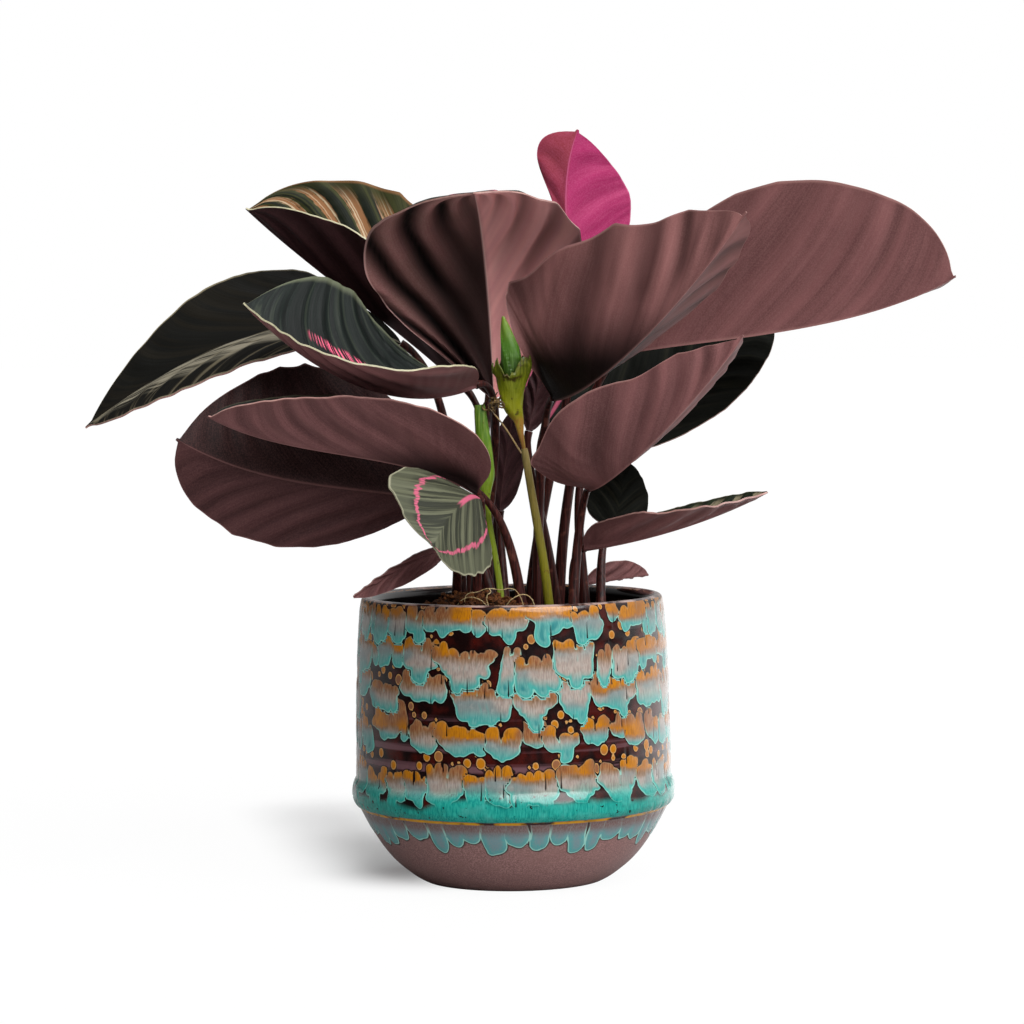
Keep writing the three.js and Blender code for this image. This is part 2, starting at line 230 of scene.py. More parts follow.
BLADE_THICKNESS, RIB_DEPTH, PLEAT_DEPTH, PLEAT_REACH = 0.8, 1.1, 1.3, 1.6
VEIN_SLANT, VEIN_CURVE = 0.15, 1.5
TIP_START, TIP_HALF_WIDTH, END_HALF_WIDTH, BASE_HALF_WIDTH = 0.985, 1.1, 0.5, 1.5
WIDEST_PLACE, ROUNDNESS = 0.45, 0.58
STALK_FOOT_HEIGHT, STALK_FOOT_RADIUS, STALK_TOP_RADIUS, STALK_JOINT_RADIUS = 108, 3, 1.6, 2
STALK_JOINT_PLACE, JOINT_GAP = 0.9, 0.35
# How much closer the grid's lines lie at the rib, and how uneven a margin is at the least.
RIB_CROWDING, LEAST_UNEVEN = 1.35, 0.02

# A half: the way it leaves the rib at the base and at the tip, its width, its curl, and where it is widest.
LEAVES = {
    "far_left": dict(
        steps=12, foot=(-24, 20), swing=(60, 30), slant=0.5,
        rib=[(-52, 14, 256), (-95, 6, 280), (-150, -8, 256), (-199, -24, 218)],
        left=dict(start=(0.1, -0.95, -0.1), to=(0.1, -0.95, -0.3), wide=42, curl=-10),
        right=dict(start=(0.2, 1, 0.14), to=(0.4, 0.3, 0.87), wide=80, curl=-20, widest=0.35, round=0.8)),
    "upper_left": dict(
        steps=9, foot=(-12, 34), swing=(50, 25), widest=0.5,
        rib=[(-22, 44, 234), (-52, 52, 263), (-95, 48, 291), (-127, 38, 322)],
        left=dict(start=(0.36, -0.8, 0.45), wide=44, curl=10),
        right=dict(start=(0.45, 0.3, 0.8), wide=56, curl=10, widest=0.54, round=0.52)),
    "centre": dict(
        steps=10, foot=(-6, 10), swing=(50, 25), widest=0.58, round=0.48,
        rib=[(-8, 16, 229), (-9, 22, 285), (-13, -26, 321), (-15, -92, 323)],
        left=dict(start=(0.9, 0.2, 0), to=(0.95, 0.1, 0.35), wide=48, curl=-30, widest=0.52, round=0.6),
        right=dict(start=(-1, -0.3, 0), to=(-1, 0, 0.05), wide=57, curl=-15, round=0.62)),
    "front_right": dict(
        steps=10, foot=(12, -14), swing=(50, 22), round=0.8, slant=1,
        rib=[(21, -32, 230), (34, -74, 228), (73, -108, 265), (105, -120, 312)],
        left=dict(start=(0.1, 0.95, 0.2), to=(0.4, 0.9, 0), wide=54, widest=0.55, round=0.5),
        right=dict(start=(-0.7, 0.45, 0.65), to=(0, 0.25, 1), wide=66, widest=0.33)),
    "far_right": dict(
        steps=10, foot=(22, 2), swing=(50, 30), widest=0.5, round=0.55, slant=1,
        rib=[(60, -10, 252), (105, -22, 258), (165, -42, 260), (205, -58, 284)],
        left=dict(start=(0.1, 0.75, 0.65), to=(0.1, 1, -0.08), wide=58),
        right=dict(start=(-0.2, -0.15, 1), to=(0.05, -0.15, 1), wide=69, widest=0.48, round=0.6)),
    "young_top": dict(
        steps=8, foot=(8, 22), swing=(60, 30),
        rib=[(32, 22, 262), (31, 20, 300), (22, 17, 326), (34, 14, 357)],
        left=dict(start=(0.9, 0.35, 0.1), wide=34, widest=0.58),
        right=dict(start=(-1, 0.15, 0.1), wide=17, curl=20, widest=0.88, round=0.7)),
    "low_right": dict(
        steps=12, foot=(28, -34), swing=(30, 18), round=1, slant=1,
        rib=[(37, -40, 188), (46, -78, 190), (84, -104, 228), (104, -108, 258)],
        left=dict(start=(0.15, 0.95, 0.15), to=(0.25, 0.95, 0.05), wide=38, round=0.5),
        right=dict(start=(-1, 0, 0.1), to=(-0.5, 0.1, 0.85), wide=42, widest=0.33)),
    "shaded_right": dict(
        steps=10, foot=(36, 12), swing=(40, 20),
        rib=[(42, 20, 204), (72, 28, 224), (104, 42, 250), (130, 50, 264)],
        left=dict(start=(-0.4, 0.5, 0.7), wide=40),
        right=dict(start=(0.45, -0.5, -0.65), wide=24, widest=0.5)),
    "narrow_right": dict(
        steps=10, foot=(31, -10), swing=(20, 12),
        rib=[(35, -25, 159), (60, -42, 163), (92, -54, 172), (118, -60, 186)],
        left=dict(start=(-0.1, 0.7, 0.65), wide=13),
        right=dict(start=(-0.25, -0.6, 0.75), to=(0, -0.95, 0.2), wide=21)),
    "rim_right": dict(
        steps=8, foot=(27, 24), swing=(12, 6),
        rib=[(36, 28, 139), (48, 32, 140), (58, 40, 141), (67, 46, 141)],
        left=dict(start=(0.1, 0.9, -0.05), wide=10),
        right=dict(start=(0, -0.2, 1), wide=9)),
    "round_right": dict(
        steps=8, foot=(43, 2), swing=(20, 14),
        rib=[(48, 24, 166), (52, 30, 170), (56, 42, 184), (55, 54, 198)],
        left=dict(start=(-1, 0, 0), wide=16),
        right=dict(start=(1, 0.1, 0), wide=14)),
    "cupped_left": dict(
        steps=12, foot=(-16, -2), swing=(50, 26), widest=0.5, round=0.5,
        rib=[(-16, -36, 236), (-52, -60, 221), (-92, -78, 244), (-120, -76, 275)],
        left=dict(start=(0.2, -0.85, 0.45), to=(0.1, -0.95, 0.05), wide=42, widest=0.4, round=0.7),
        right=dict(start=(0.25, 0.5, 0.8), wide=45, widest=0.72, round=0.44)),
    "lower_left": dict(
        steps=12, foot=(6, -34), swing=(30, 20), widest=0.4, round=0.5,
        rib=[(-16, -46, 187), (-50, -62, 209), (-100, -76, 203), (-136, -86, 224)],
        left=dict(start=(0.3, -0.6, 0.7), wide=37),
        right=dict(start=(0.35, 0.5, 0.8), wide=30)),
    "broad_left": dict(
        steps=14, foot=(-6, -22), swing=(30, 20), round=0.5,
        rib=[(-38, -16, 182), (-72, -28, 190), (-115, -42, 188), (-154, -50, 213)],
        left=dict(start=(0.5, 0.3, 0.9), to=(0.2, 0.3, 0.9), wide=57, widest=0.5, round=0.42),
        right=dict(start=(-0.2, 0.3, -0.9), wide=34, widest=0.6)),
    "hanging_front": dict(
        steps=10, foot=(-18, -32), swing=(40, 12), slant=1,
        rib=[(-14, -54, 184), (-18, -72, 190), (-28, -92, 180), (-35, -99, 165)],
        left=dict(start=(0.3, 0.2, -0.95), wide=34),
        right=dict(start=(-0.85, -0.2, 0.43), wide=35)),
    "pointed_left": dict(
        steps=8, foot=(-28, -10), swing=(20, 10),
        rib=[(-30, -30, 160), (-42, -38, 158), (-58, -46, 148), (-73, -52, 139)],
        left=dict(start=(0.2, -0.3, 0.9), wide=3),
        right=dict(start=(-0.3, -0.2, -0.9), wide=8)),
    "back_left": dict(
        steps=10, foot=(-22, 38), swing=(60, 25),
        rib=[(-12, 62, 262), (-24, 84, 280), (-44, 108, 290), (-62, 130, 284)],
        left=dict(start=(-0.8, -0.2, 0.1), wide=36),
        right=dict(start=(0.8, 0.2, 0.1), wide=40)),
    "back_right": dict(
        steps=10, foot=(18, 38), swing=(50, 25),
        rib=[(18, 46, 216), (30, 68, 238), (46, 98, 252), (62, 124, 246)],
        left=dict(start=(-0.8, 0.2, 0.2), wide=36),
        right=dict(start=(0.8, -0.2, 0.1), wide=40)),
    "dark_middle": dict(
        steps=8, foot=(-2, -4), swing=(20, 14),
        rib=[(-5, 2, 176), (-4, 0, 190), (-1, -2, 206), (2, -2, 224)],
        left=dict(start=(1, 0.2, 0), wide=9),
        right=dict(start=(-1, 0.2, 0), wide=9)),
    "inner_right": dict(
        steps=8, foot=(22, -4), swing=(50, 16),
        rib=[(9, -13, 214), (12, -11, 226), (14, -9, 237), (16, -8, 247)],
        left=dict(start=(1, 0, 0), wide=7),
        right=dict(start=(-1, 0.2, 0), wide=6)),
}


def half_width(share, wide, widest, roundness):
    if share >= TIP_START:
        return TIP_HALF_WIDTH + (END_HALF_WIDTH - TIP_HALF_WIDTH) * (share - TIP_START) / (1 - TIP_START)
    place = (share / TIP_START) ** (math.log(0.5) / math.log(widest))
    least = BASE_HALF_WIDTH + (TIP_HALF_WIDTH - BASE_HALF_WIDTH) * share
    return max(least, wide * max(0, math.sin(math.pi * place)) ** roundness)


def blade_point(leaf, side, share, out):
    """A place on the blade: share runs from base to tip, out from the rib to the margin of that side."""
    half = leaf["right"] if side > 0 else leaf["left"]
    start = share - VEIN_SLANT * math.sin(math.pi * share)
    along = start + (share - start) * out ** VEIN_CURVE
    rib, forward = bezier(leaf["rib"], along), bezier_forward(leaf["rib"], along)
    way = Vector(half["start"]).normalized().lerp(Vector(half.get("to", half["start"])).normalized(), along)
    square = 1 - leaf.get("slant", 0) * min(1, 4 * along)
    way = (way - forward * (way.dot(forward) * square)).normalized()
    upper = way.cross(forward).normalized() * side
    bend = math.radians(half.get("curl", 0) or 0.01)
    widest = half.get("widest", leaf.get("widest", WIDEST_PLACE))
    width = half_width(share, half["wide"], widest, half.get("round", leaf.get("round", ROUNDNESS)))
    point = rib + way * (width * math.sin(bend * out) / bend)
    return point + upper * (width * (1 - math.cos(bend * out)) / bend), upper, width, along


# How uneven the margin is, as a share of the half's width.
UNEVEN = {"front_right": 0.07, "low_right": 0.08, "broad_left": 0.04, "centre": 0.03, "narrow_right": 0.08,
          "far_right": 0.015, "cupped_left": 0.03, "hanging_front": 0.05, "far_left": 0.04,
          "upper_left": 0.05}
# Where the side veins run straight and slanting: how far a vein's place moves along the rib and out from it,
# first for the right half and then for the left one.
STRAIGHT_VEINS = {"centre": ((0.6, 0.62), (1, 0.56)), "upper_left": ((1.7, 0.85), (1, 0.5))}


def make_blade(name, leaf, upper_face, under_face, margin):
    """The blade as a grid laid along its rib, given its thickness, then both faces set in place."""
    leaf["rib"] = [Vector(point) for point in leaf["rib"]]
    long = (leaf["rib"][3] - leaf["rib"][0]).length
    piece = flat_sheet(f"blade_{name}", max(48, min(112, int(long * 0.8))),
                       60 if name in ("centre", "front_right") else 32 if long > 60 else 18)
    places = [((v.co.x + 1) / 2, v.co.y) for v in piece.data.vertices]
    for finish in (upper_face, under_face, margin):
        piece.data.materials.append(finish)
    thick = piece.modifiers.new("thickness", "SOLIDIFY")
    thick.thickness, thick.material_offset, thick.material_offset_rim = 0.1, 1, 2
    apply_modifiers(piece)
    mesh, count = piece.data, len(places)
    ruffle = random.Random(name).uniform(0, 50)
    flow, valley_tint_and_shade, ridge = [], np.zeros(count * 2, dtype=np.float32), np.zeros(count * 2, dtype=np.float32)
    left_valley_shade, right_valley_shade, pleats, sweep = PLEATS.get(name, (0.2, 0.2, 0.8, 0.4))
    for index, (share, across) in enumerate(places):
        side, out = (1 if across < 0 else -1), abs(across) ** RIB_CROWDING
        uneven = abs(noise.noise(Vector((share * 6.5 + ruffle, side * 5.3, 1.7))))
        uneven = uneven * min(1, 6 * share, 6 - 6 * share) - 0.12 * min(1, 5 * share, 5 - 5 * share)
        inward = 1 - 2 * UNEVEN.get(name, LEAST_UNEVEN) * out ** 3 * uneven
        point, upper, width, along = blade_point(leaf, side, share, out * inward)
        if out < 0.02:
            other = blade_point(leaf, -side, share, out)[1]
            upper = (upper + other * 0.999).normalized()
        wave = noise.noise(Vector((share * 9 + ruffle, side * 3.1, 0.4))) * 0.028 * width * out ** 2
        fine = noise.noise(Vector((share * 34 + ruffle, side * 7.7, out * 2.2))) * 0.35 * min(1, 2 * out)
        if name in STRAIGHT_VEINS:
            forth, aside = STRAIGHT_VEINS[name][side < 0]
            vein = forth * along - aside * out
        else:
            vein = along - sweep * math.sin(math.pi * along) * out ** 0.8
        stray = 0.012 * noise.noise(Vector((along * 6, side + ruffle, out)))
        fold = math.cos(math.pi * (vein + stray) * leaf["steps"])
        ends = min(1, 7 * share, 7 * (1 - share), PLEAT_REACH * 1.5 * out)
        point = point + upper * (PLEAT_DEPTH * pleats * fold * ends * (1 - 0.6 * out ** 3))
        point = point + upper * ((wave + fine) * min(1, 8 * share, 8 * (1 - share)) - 0.03)
        rib = RIB_DEPTH * (1 - share) * math.exp(-(out * width / 1.1) ** 2)
        groove = 0.25 * (1 - share) * math.exp(-(out * width / 0.8) ** 2)
        mesh.vertices[index].co = (point + upper * (BLADE_THICKNESS / 2 - groove)) * MM
        mesh.vertices[index + count].co = (point - upper * (BLADE_THICKNESS / 2 + rib)) * MM
        flow.append((vein, 0.5 + 0.5 * side * out))
        # Valley darkness: partly the leaf's own darker tone in its pleats, partly painted shade. The centre
        # leaf's right half gets broader painted shade.
        strength = right_valley_shade if side > 0 else left_valley_shade
        valley_shade_spread = 0.9 if name == "centre" and side > 0 else 1.6
        valley_tint_and_shade[index] = valley_tint_and_shade[index + count] = strength * ends * (0.5 + 0.5 * fold) ** valley_shade_spread
        ridge[index] = ridge[index + count] = 0.5 - 0.5 * fold
    layer = mesh.uv_layers[0].data
    for loop in mesh.loops:
        layer[loop.index].uv = flow[loop.vertex_index % count]
    for kind, values in (("valley_tint_and_shade", valley_tint_and_shade), ("ridge", ridge)):
        mesh.attributes.new(kind, "FLOAT", "POINT").data.foreach_set("value", values)
    mesh.update()
    return finish_piece(piece, [f"leaf_{name}"], 48)


def make_stalk(name, leaf, finish):
    """The stalk from its foot in the soil to the leaf's base, thick at the foot and swollen at the leaf."""
    base, forward = leaf["rib"][0], bezier_forward(leaf["rib"], 0)
    foot = Vector((*leaf["foot"], STALK_FOOT_HEIGHT))
    rise, reach = leaf["swing"]
    top = base - forward * JOINT_GAP
    piece = new_curve(f"stalk_{name}_stem")
    ends = piece.data.splines[0].bezier_points
    handles = ((foot, foot - Vector((0, 0, 5)), foot + Vector((0, 0, rise))),
               (top, top - forward * reach, top + forward))
    for end, (place, before, after) in zip(ends, handles):
        end.handle_left_type = end.handle_right_type = "FREE"
        end.co, end.handle_left, end.handle_right = place * MM, before * MM, after * MM
        end.select_control_point = True
    bpy.ops.object.mode_set(mode="EDIT")
    bpy.ops.curve.select_all(action="SELECT")
    bpy.ops.curve.subdivide(number_cuts=9)
    bpy.ops.object.mode_set(mode="OBJECT")
    points = piece.data.splines[0].bezier_points
    for place, point in enumerate(points):
        share = place / (len(points) - 1)
        thinned = (STALK_TOP_RADIUS - STALK_FOOT_RADIUS) * min(1, share / STALK_JOINT_PLACE)
        point.radius = STALK_JOINT_RADIUS if share > 0.99 else STALK_FOOT_RADIUS + thinned
    return finish_piece(curve_to_mesh(piece, 1, 4, finish), [f"stalk_{name}"], 50)


def leaf_flow(f):
    """The blade's map, and from it the side vein's place along the rib and the place across the blade."""
    flow = f.node("ShaderNodeUVMap").outputs[0]
    parts = f.parts_of(flow)
    return flow, parts[0], parts[1]


def leaf_under(name, shade, lit, edge, gloss=0.55, tints_and_shades=(None, None), painted_shade=0.0, painted_shade_from=(0, 1),
               one_sided=False):
    """The burgundy back of a leaf: soft bands along the side veins, fine veins between them, a paler rib.
    A tint colours one half more: on the young leaf it is its own colour, on the centre and broad leaves it is
    painted shade. The painted shade darkens the back near the base and along the rib."""
    f = Finish(name, roughness=gloss, specular=0.15)
    flow, vein, place = leaf_flow(f)
    out = f.math("ABSOLUTE", f.scaled(place, 2.0, -1.0))
    veins = f.drawn_out(flow, (170, 2, 1), 2.0)
    bands = f.drawn_out(flow, (13, 0.8, 1), 1.0)
    blotch = f.noise(f.here, 45.0, 4.0)
    grain = f.noise(f.here, 1500.0, 2.0)
    colour = f.mix(f.span(bands, 0.3, 0.7, 0.4, 0.95), shade, lit)
    for tint_and_shade, ends in zip(tints_and_shades, ((0.53, 0.47), (0.47, 0.53))):
        if tint_and_shade:
            colour = f.mix(f.span(place, *ends, 0.0, 0.8), colour, tint_and_shade)
    colour = f.mix(f.span(blotch, 0.35, 0.75, 0.0, 0.25), colour, shade)
    colour = f.mix(f.span(grain, 0.35, 0.75, 0.0, 0.2), colour, edge)
    colour = f.mix(f.span(veins, 0.35, 0.75, 0.0, 0.12), colour, edge)
    # Pleat valleys darkened: partly the leaf's own tone, partly painted shade.
    colour = f.mix(f.attribute("valley_tint_and_shade"), colour, "0b0505")
    # Painted shade near the base and along the rib, where the curled blade faces down into shade. One-sided, it
    # falls only on the right half.
    if painted_shade:
        painted_shade_mask = f.span(f.scaled(out, 1.1, vein), *painted_shade_from, painted_shade, 0.0)
        if one_sided:
            painted_shade_mask = f.times(painted_shade_mask, f.math("GREATER_THAN", place, 0.5))
        colour = f.mix(painted_shade_mask, colour, "070303")
    rib = f.span(out, 0.0, 0.018, 1.0, 0.0)
    rim = f.span(out, 0.978, 0.994)
    colour = f.mix(f.times(rib, 0.55), colour, edge)
    colour = f.mix(f.times(rim, 0.6), colour, edge)
    f.set(Base_Color=colour, Roughness=f.span(grain, 0.2, 0.8, gloss - 0.06, gloss + 0.14))
    f.set(Normal=f.bump(f.scaled(grain, 0.25, veins), 0.3, 0.0003))
    return f.material


def leaf_upper(name, dark, mid, stripe, line, stripes=(0.3, 0.3), lines=(1.0, 1.0), ring=0.62, gloss=0.5,
               pleated=False, wash=0.5, drawn_along=(-0.5, 1.1), bar=(-0.5, 1.1), second=None, jagged=0.5,
               flames=False, rib_strip=None, margin_from=0.965):
    """The upper face: near-black green, feathered stripes along the side veins, a pink ring and rib. The ring
    is drawn for the side veins in drawn_along, and the rib's bar for those in bar."""
    f = Finish(name, roughness=gloss, specular=0.12)
    flow, vein, place = leaf_flow(f)
    right = f.math("GREATER_THAN", place, 0.5)
    out = f.math("ABSOLUTE", f.scaled(place, 2.0, -1.0))
    veins = f.drawn_out(flow, (150, 2, 1), 2.0)
    bands = f.drawn_out(flow, (20, 0.8, 1), 2.0, distortion=0.3)
    colour = f.mix(f.span(bands, 0.42, 0.62), dark, mid)
    striped = f.span(right, 0.0, 1.0, stripes[0], stripes[1])
    feathers = f.span(bands, 0.54, 0.63)
    stripe_colour = stripe
    if pleated:
        torn = f.scaled(f.drawn_out(flow, (60, 5, 1), 3.0), 1.3, -0.65)
        feathers = f.span(f.plus(f.attribute("ridge"), torn), 0.5, 0.72)
        feathers = f.times(feathers, f.span(out, 0.99, 0.72))
    if second:
        pale = f.drawn_out(flow, (55, 1, 1), 1.0)
        stripe_colour = f.mix(f.span(pale, 0.5, 0.62), stripe, second)
    colour = f.mix(f.times(feathers, striped), colour, stripe_colour)
    colour = f.mix(f.span(veins, 0.35, 0.8, 0.0, 0.2), colour, mid)
    outside = f.span(out, ring, ring + 0.2)
    colour = f.mix(f.times(outside, wash), colour, mid)
    if rib_strip:
        streaks = f.drawn_out(flow, (2, 26, 1), 3.0)
        strip = f.times(f.span(out, 0.03, 0.1), f.span(out, 0.62, 0.42))
        strip = f.times(strip, f.math("LESS_THAN", place, 0.5))
        strip = f.times(strip, f.span(streaks, 0.38, 0.58, 0.05, 1.0))
        colour = f.mix(f.times(strip, 0.9), colour, rib_strip)
    jag = f.drawn_out(flow, (9, 1, 1), 4.0, 0.75)
    jag = f.scaled(jag, jagged, ring - jagged / 2)
    away = f.math("ABSOLUTE", f.math("SUBTRACT", out, jag))
    feather = f.span(f.drawn_out(flow, (60, 5, 1), 2.0), 0.36, 0.5)
    mark = f.times(f.span(away, 0.02, 0.045, 1.0, 0.0), feather)
    if flames:
        strokes = f.span(f.drawn_out(flow, (75, 3, 1), 2.0), 0.5, 0.56)
        mark = f.times(f.span(away, 0.02, 0.06, 1.0, 0.0), strokes)
    mark = f.times(mark, f.span(vein, drawn_along[0], drawn_along[0] + 0.06))
    mark = f.times(mark, f.span(vein, drawn_along[1], drawn_along[1] - 0.06))
    rib = f.times(f.span(out, 0.02, 0.05, 1.0, 0.0), f.span(vein, bar[0], bar[0] + 0.03))
    rib = f.times(rib, f.span(vein, bar[1], bar[1] - 0.08))
    drawn = f.span(right, 0.0, 1.0, lines[0], lines[1])
    pink = f.times(f.math("MAXIMUM", mark, rib), drawn, clamp=True)
    colour = f.mix(pink, colour, line)
    colour = f.mix(f.times(f.span(out, margin_from, 0.99), 0.6), colour, stripe)
    f.set(Base_Color=colour, Roughness=f.span(veins, 0.2, 0.8, gloss - 0.06, gloss + 0.12))
    f.set(Normal=f.bump(veins, 0.4, 0.0004))
    return f.material


def plain_margin(name, colour, shade):
    f = Finish(name, roughness=0.5)
    f.set(Base_Color=f.mix(f.noise(f.here, 400.0, 2.0), colour, shade))
    return f.material


burgundy = leaf_under("burgundy leaf back", "4d2f30", "7e5151", "a67974")
# A lightened copy of the burgundy back: painted light on the cupped leaf's roll, which faces down.
cupped_painted_light_burgundy = leaf_under("cupped leaf back with painted light", "6c4244", "9c6868", "b48884")
# Painted shade on the front right leaf's back near its base and along the rib.
front_painted_shade_burgundy = leaf_under("front burgundy leaf back with painted shade", "50302f", "8e5e5c", "a87c78", painted_shade=0.96,
                            painted_shade_from=(0.38, 0.82))
# Painted shade on the lower left leaf's back near its base and along the rib.
low_painted_shade_burgundy = leaf_under("low burgundy leaf back with painted shade", "4a2c2e", "764e4e", "a0726e", painted_shade=0.94,
                          painted_shade_from=(0.18, 0.6))
# A darkened copy of the burgundy back for a leaf in shade, with near-black painted shade on its upper half.
broad_painted_shade_burgundy = leaf_under("broad burgundy leaf back with painted shade", "2f191b", "4d2f30", "7c5552",
                             tints_and_shades=("080404", None))
dark_burgundy = leaf_under("dark burgundy leaf back", "1e0d0e", "42262a", "6a4644")
# Painted light and shade: the whole back is made pale to stand for the light its left half faces. The right
# half is tinted darker and given painted shade.
centre_painted_light_burgundy = leaf_under("leaf back with painted light and shade halves", "d4868a", "ffb8b4", "f0c0ba", tints_and_shades=(None, "80584f"),
                             painted_shade=0.92, painted_shade_from=(0.25, 0.9), one_sided=True)
magenta = leaf_under("magenta young leaf back", "8e1e4e", "a52c60", "c8668e", 0.45, tints_and_shades=(None, "8c3a3a"))
green_black = leaf_upper("green-black leaf face", "060907", "10160f", "4a4636", "b8566f", (0.2, 0.2),
                         (0.8, 0.8))
dark_face = leaf_upper("plain dark leaf face", "050703", "0f100b", "2c2a18", "7a4a50", (0.2, 0.2), (0.0, 0.0),
                       gloss=0.75)
far_face = leaf_upper("brown-green leaf face", "040402", "0e0b05", "8a8068", "b9a78a", (0.35, 0.0),
                      (0.0, 0.0), 0.6, gloss=0.8, wash=0.2, second="4a4434", rib_strip="7f7969")
feathered_face = leaf_upper("feathered leaf face", "0c120a", "34361a", "8e6240", "e8d6c0", (0.9, 0.95),
                            (0.0, 0.0), 0.8, pleated=True, second="b8a588")
striped_face = leaf_upper("striped leaf face", "0a100a", "20281a", "8a8068", "d87a90", (0.8, 0.8), (0.0, 0.0),
                          0.8, pleated=True)
grey_face = leaf_upper("grey-green leaf face", "2a2c24", "565846", "9f9c84", "b4566e", (0.05, 0.05), (1.0, 1.0),
                       bar=(-0.1, 0.5), jagged=0.28)
cupped_face = leaf_upper("dark grey-green leaf face", "080c0b", "141c19", "6f745c", "e0607e", (0.1, 0.1),
                         (0.0, 1.0), 0.24, wash=0.25, drawn_along=(0.12, 0.62), bar=(2.0, 3.0), jagged=0.16,
                         flames=True, margin_from=0.9)
young_face = leaf_upper("young leaf face", "7a2234", "a03c3c", "c88068", "e3a0a8", (0.4, 0.4), (0.3, 0.3))
margin_pink = plain_margin("leaf margin", "b08a80", "7a5250")
margin_cream = plain_margin("cream leaf margin", "bdb696", "8c8a70")


def stalk_finish():
    f = Finish("stalk skin", roughness=0.45, specular=0.25)
    lines = f.drawn_out(f.here, (1400, 1400, 40), 2.0)
    spots = f.noise(f.here, 220.0, 3.0)
    colour = f.mix(f.span(lines, 0.3, 0.7), "1a0909", "481e19")
    colour = f.mix(f.span(spots, 0.58, 0.72, 0.0, 0.5), colour, "6c3e32")
    f.set(Base_Color=colour, Roughness=f.span(lines, 0.2, 0.8, 0.3, 0.5))
    f.set(Normal=f.bump(lines, 0.35, 0.0004))
    return f.material


stalk_skin = stalk_finish()
FACES = {
    "far_left": (far_face, dark_burgundy, margin_pink),
    "upper_left": (feathered_face, dark_burgundy, margin_cream),
    "centre": (green_black, centre_painted_light_burgundy, margin_pink),
    "front_right": (dark_face, front_painted_shade_burgundy, margin_pink),
    "young_top": (young_face, magenta, margin_pink),
    "shaded_right": (dark_face, burgundy, margin_pink),
    "narrow_right": (striped_face, burgundy, margin_pink),
    "round_right": (dark_face, burgundy, margin_pink),
    "cupped_left": (cupped_face, cupped_painted_light_burgundy, margin_cream),
    "lower_left": (green_black, low_painted_shade_burgundy, margin_pink),
    "broad_left": (green_black, broad_painted_shade_burgundy, margin_pink),
    "hanging_front": (grey_face, burgundy, margin_cream),
    "dark_middle": (green_black, dark_burgundy, margin_pink),
    "inner_right": (green_black, dark_burgundy, margin_pink),
}
# The pleats: how dark their valleys are on the left and right half, partly the leaf's own tone and partly
# painted shade, how deep they are, and how far the side veins sweep towards the tip, where they don't run
# straight.
PLEATS = {
    "centre": (0.5, 1.0, 2.1, None), "upper_left": (0.3, 0.3, 1.2, None),
    "front_right": (0.45, 0.5, 1.1, 0.35),
    "far_right": (0.1, 0.14, 0.6, 0.4), "low_right": (0.3, 0.3, 0.9, 0.4), "far_left": (0.3, 0.3, 0.7, 0.55),
    "cupped_left": (0.2, 0.2, 0.6, 0.55), "lower_left": (0.15, 0.15, 0.5, 0.45),
    "broad_left": (0.2, 0.2, 0.6, 0.45), "hanging_front": (0.2, 0.2, 0.5, 0.4),
    "young_top": (0.1, 0.1, 0.4, 0.3),
}


for leaf_name, leaf in LEAVES.items():
    make_blade(leaf_name, leaf, *FACES.get(leaf_name, (green_black, burgundy, margin_pink)))
    make_stalk(leaf_name, leaf, stalk_skin)


# ---------------------------------------------------------------- shoots

SHOOTS = {
    "open_stem": dict(
        flat=0.1, path=[(20, -28, 108), (15.5, -34, 150), (9.5, -37, 188), (6.6, -38.4, 206.5)],
        radius=[(0, 2.4), (0.5, 2.1), (0.9, 1.8), (0.98, 1.75), (1, 1.4)]),
    "slim": dict(
        flat=0.35, path=[(-2, -34, 108), (-6, -35, 146), (-11, -36, 180), (-12, -36, 205), (-14, -36, 227)],
        radius=[(0, 1.8), (0.55, 1.3), (0.63, 1.6), (0.72, 4.4), (0.85, 3.6), (0.95, 3), (0.99, 2.7),
                (1, 2.2)]),
}
# The torn sheath: height, place to the right and radius, up the outside and down the inside.
SHEATH_OUTSIDE = [(201, 7.4, 0.8), (208, 6.2, 1.0), (214, 4.9, 1.5), (219, 4.2, 2.3), (223, 2.4, 3.9),
                  (227, 1.1, 4.9), (232, 0.9, 5.6), (238, 1.3, 7.1), (243, 1.6, 8.5), (247, 1.4, 9.4),
                  (250.5, 1.2, 8.9)]
SHEATH_INSIDE = [(250.4, 1.2, 8.3), (246.5, 1.4, 8.7), (242, 1.6, 7.4), (237.5, 1.3, 5.4), (236, 1.2, 0.4)]
ROLLED_LEAF = [(236.5, 1, 2.5), (242, 1.3, 4.2), (249, 1.3, 4.7), (254, 0.6, 4.1), (259, -0.5, 3.0),
               (264, -1.7, 1.8), (268, -2.6, 0.6)]
SHEATH_DEPTH_PLACE, SHEATH_FLATNESS, SHEATH_RIM_START = -38.5, 0.62, 238


def shoot_line(path, share):
    """A smooth line through the path's points, by equal steps."""
    points = [Vector(p) for p in path]
    points = [points[0] * 2 - points[1]] + points + [points[-1] * 2 - points[-2]]
    place = min(share * (len(path) - 1), len(path) - 1.0001)
    start, rest = int(place), place - int(place)
    a, b, c, d = points[start:start + 4]
    return 0.5 * ((2 * b) + (c - a) * rest + (2 * a - 5 * b + 4 * c - d) * rest ** 2
                  + (3 * b - a - 3 * c + d) * rest ** 3)


def close_ends(piece):
    """Joins the grid's seam, fills its open ends and turns its faces outward."""
    select_only(piece)
    bpy.ops.object.mode_set(mode="EDIT")
    bpy.ops.mesh.select_all(action="SELECT")
    bpy.ops.mesh.remove_doubles(threshold=0.00002)
    bpy.ops.mesh.select_all(action="DESELECT")
    bpy.ops.mesh.select_non_manifold()
    bpy.ops.mesh.edge_face_add()
    bpy.ops.mesh.select_all(action="SELECT")
    bpy.ops.mesh.normals_make_consistent(inside=False)
    bpy.ops.object.mode_set(mode="OBJECT")


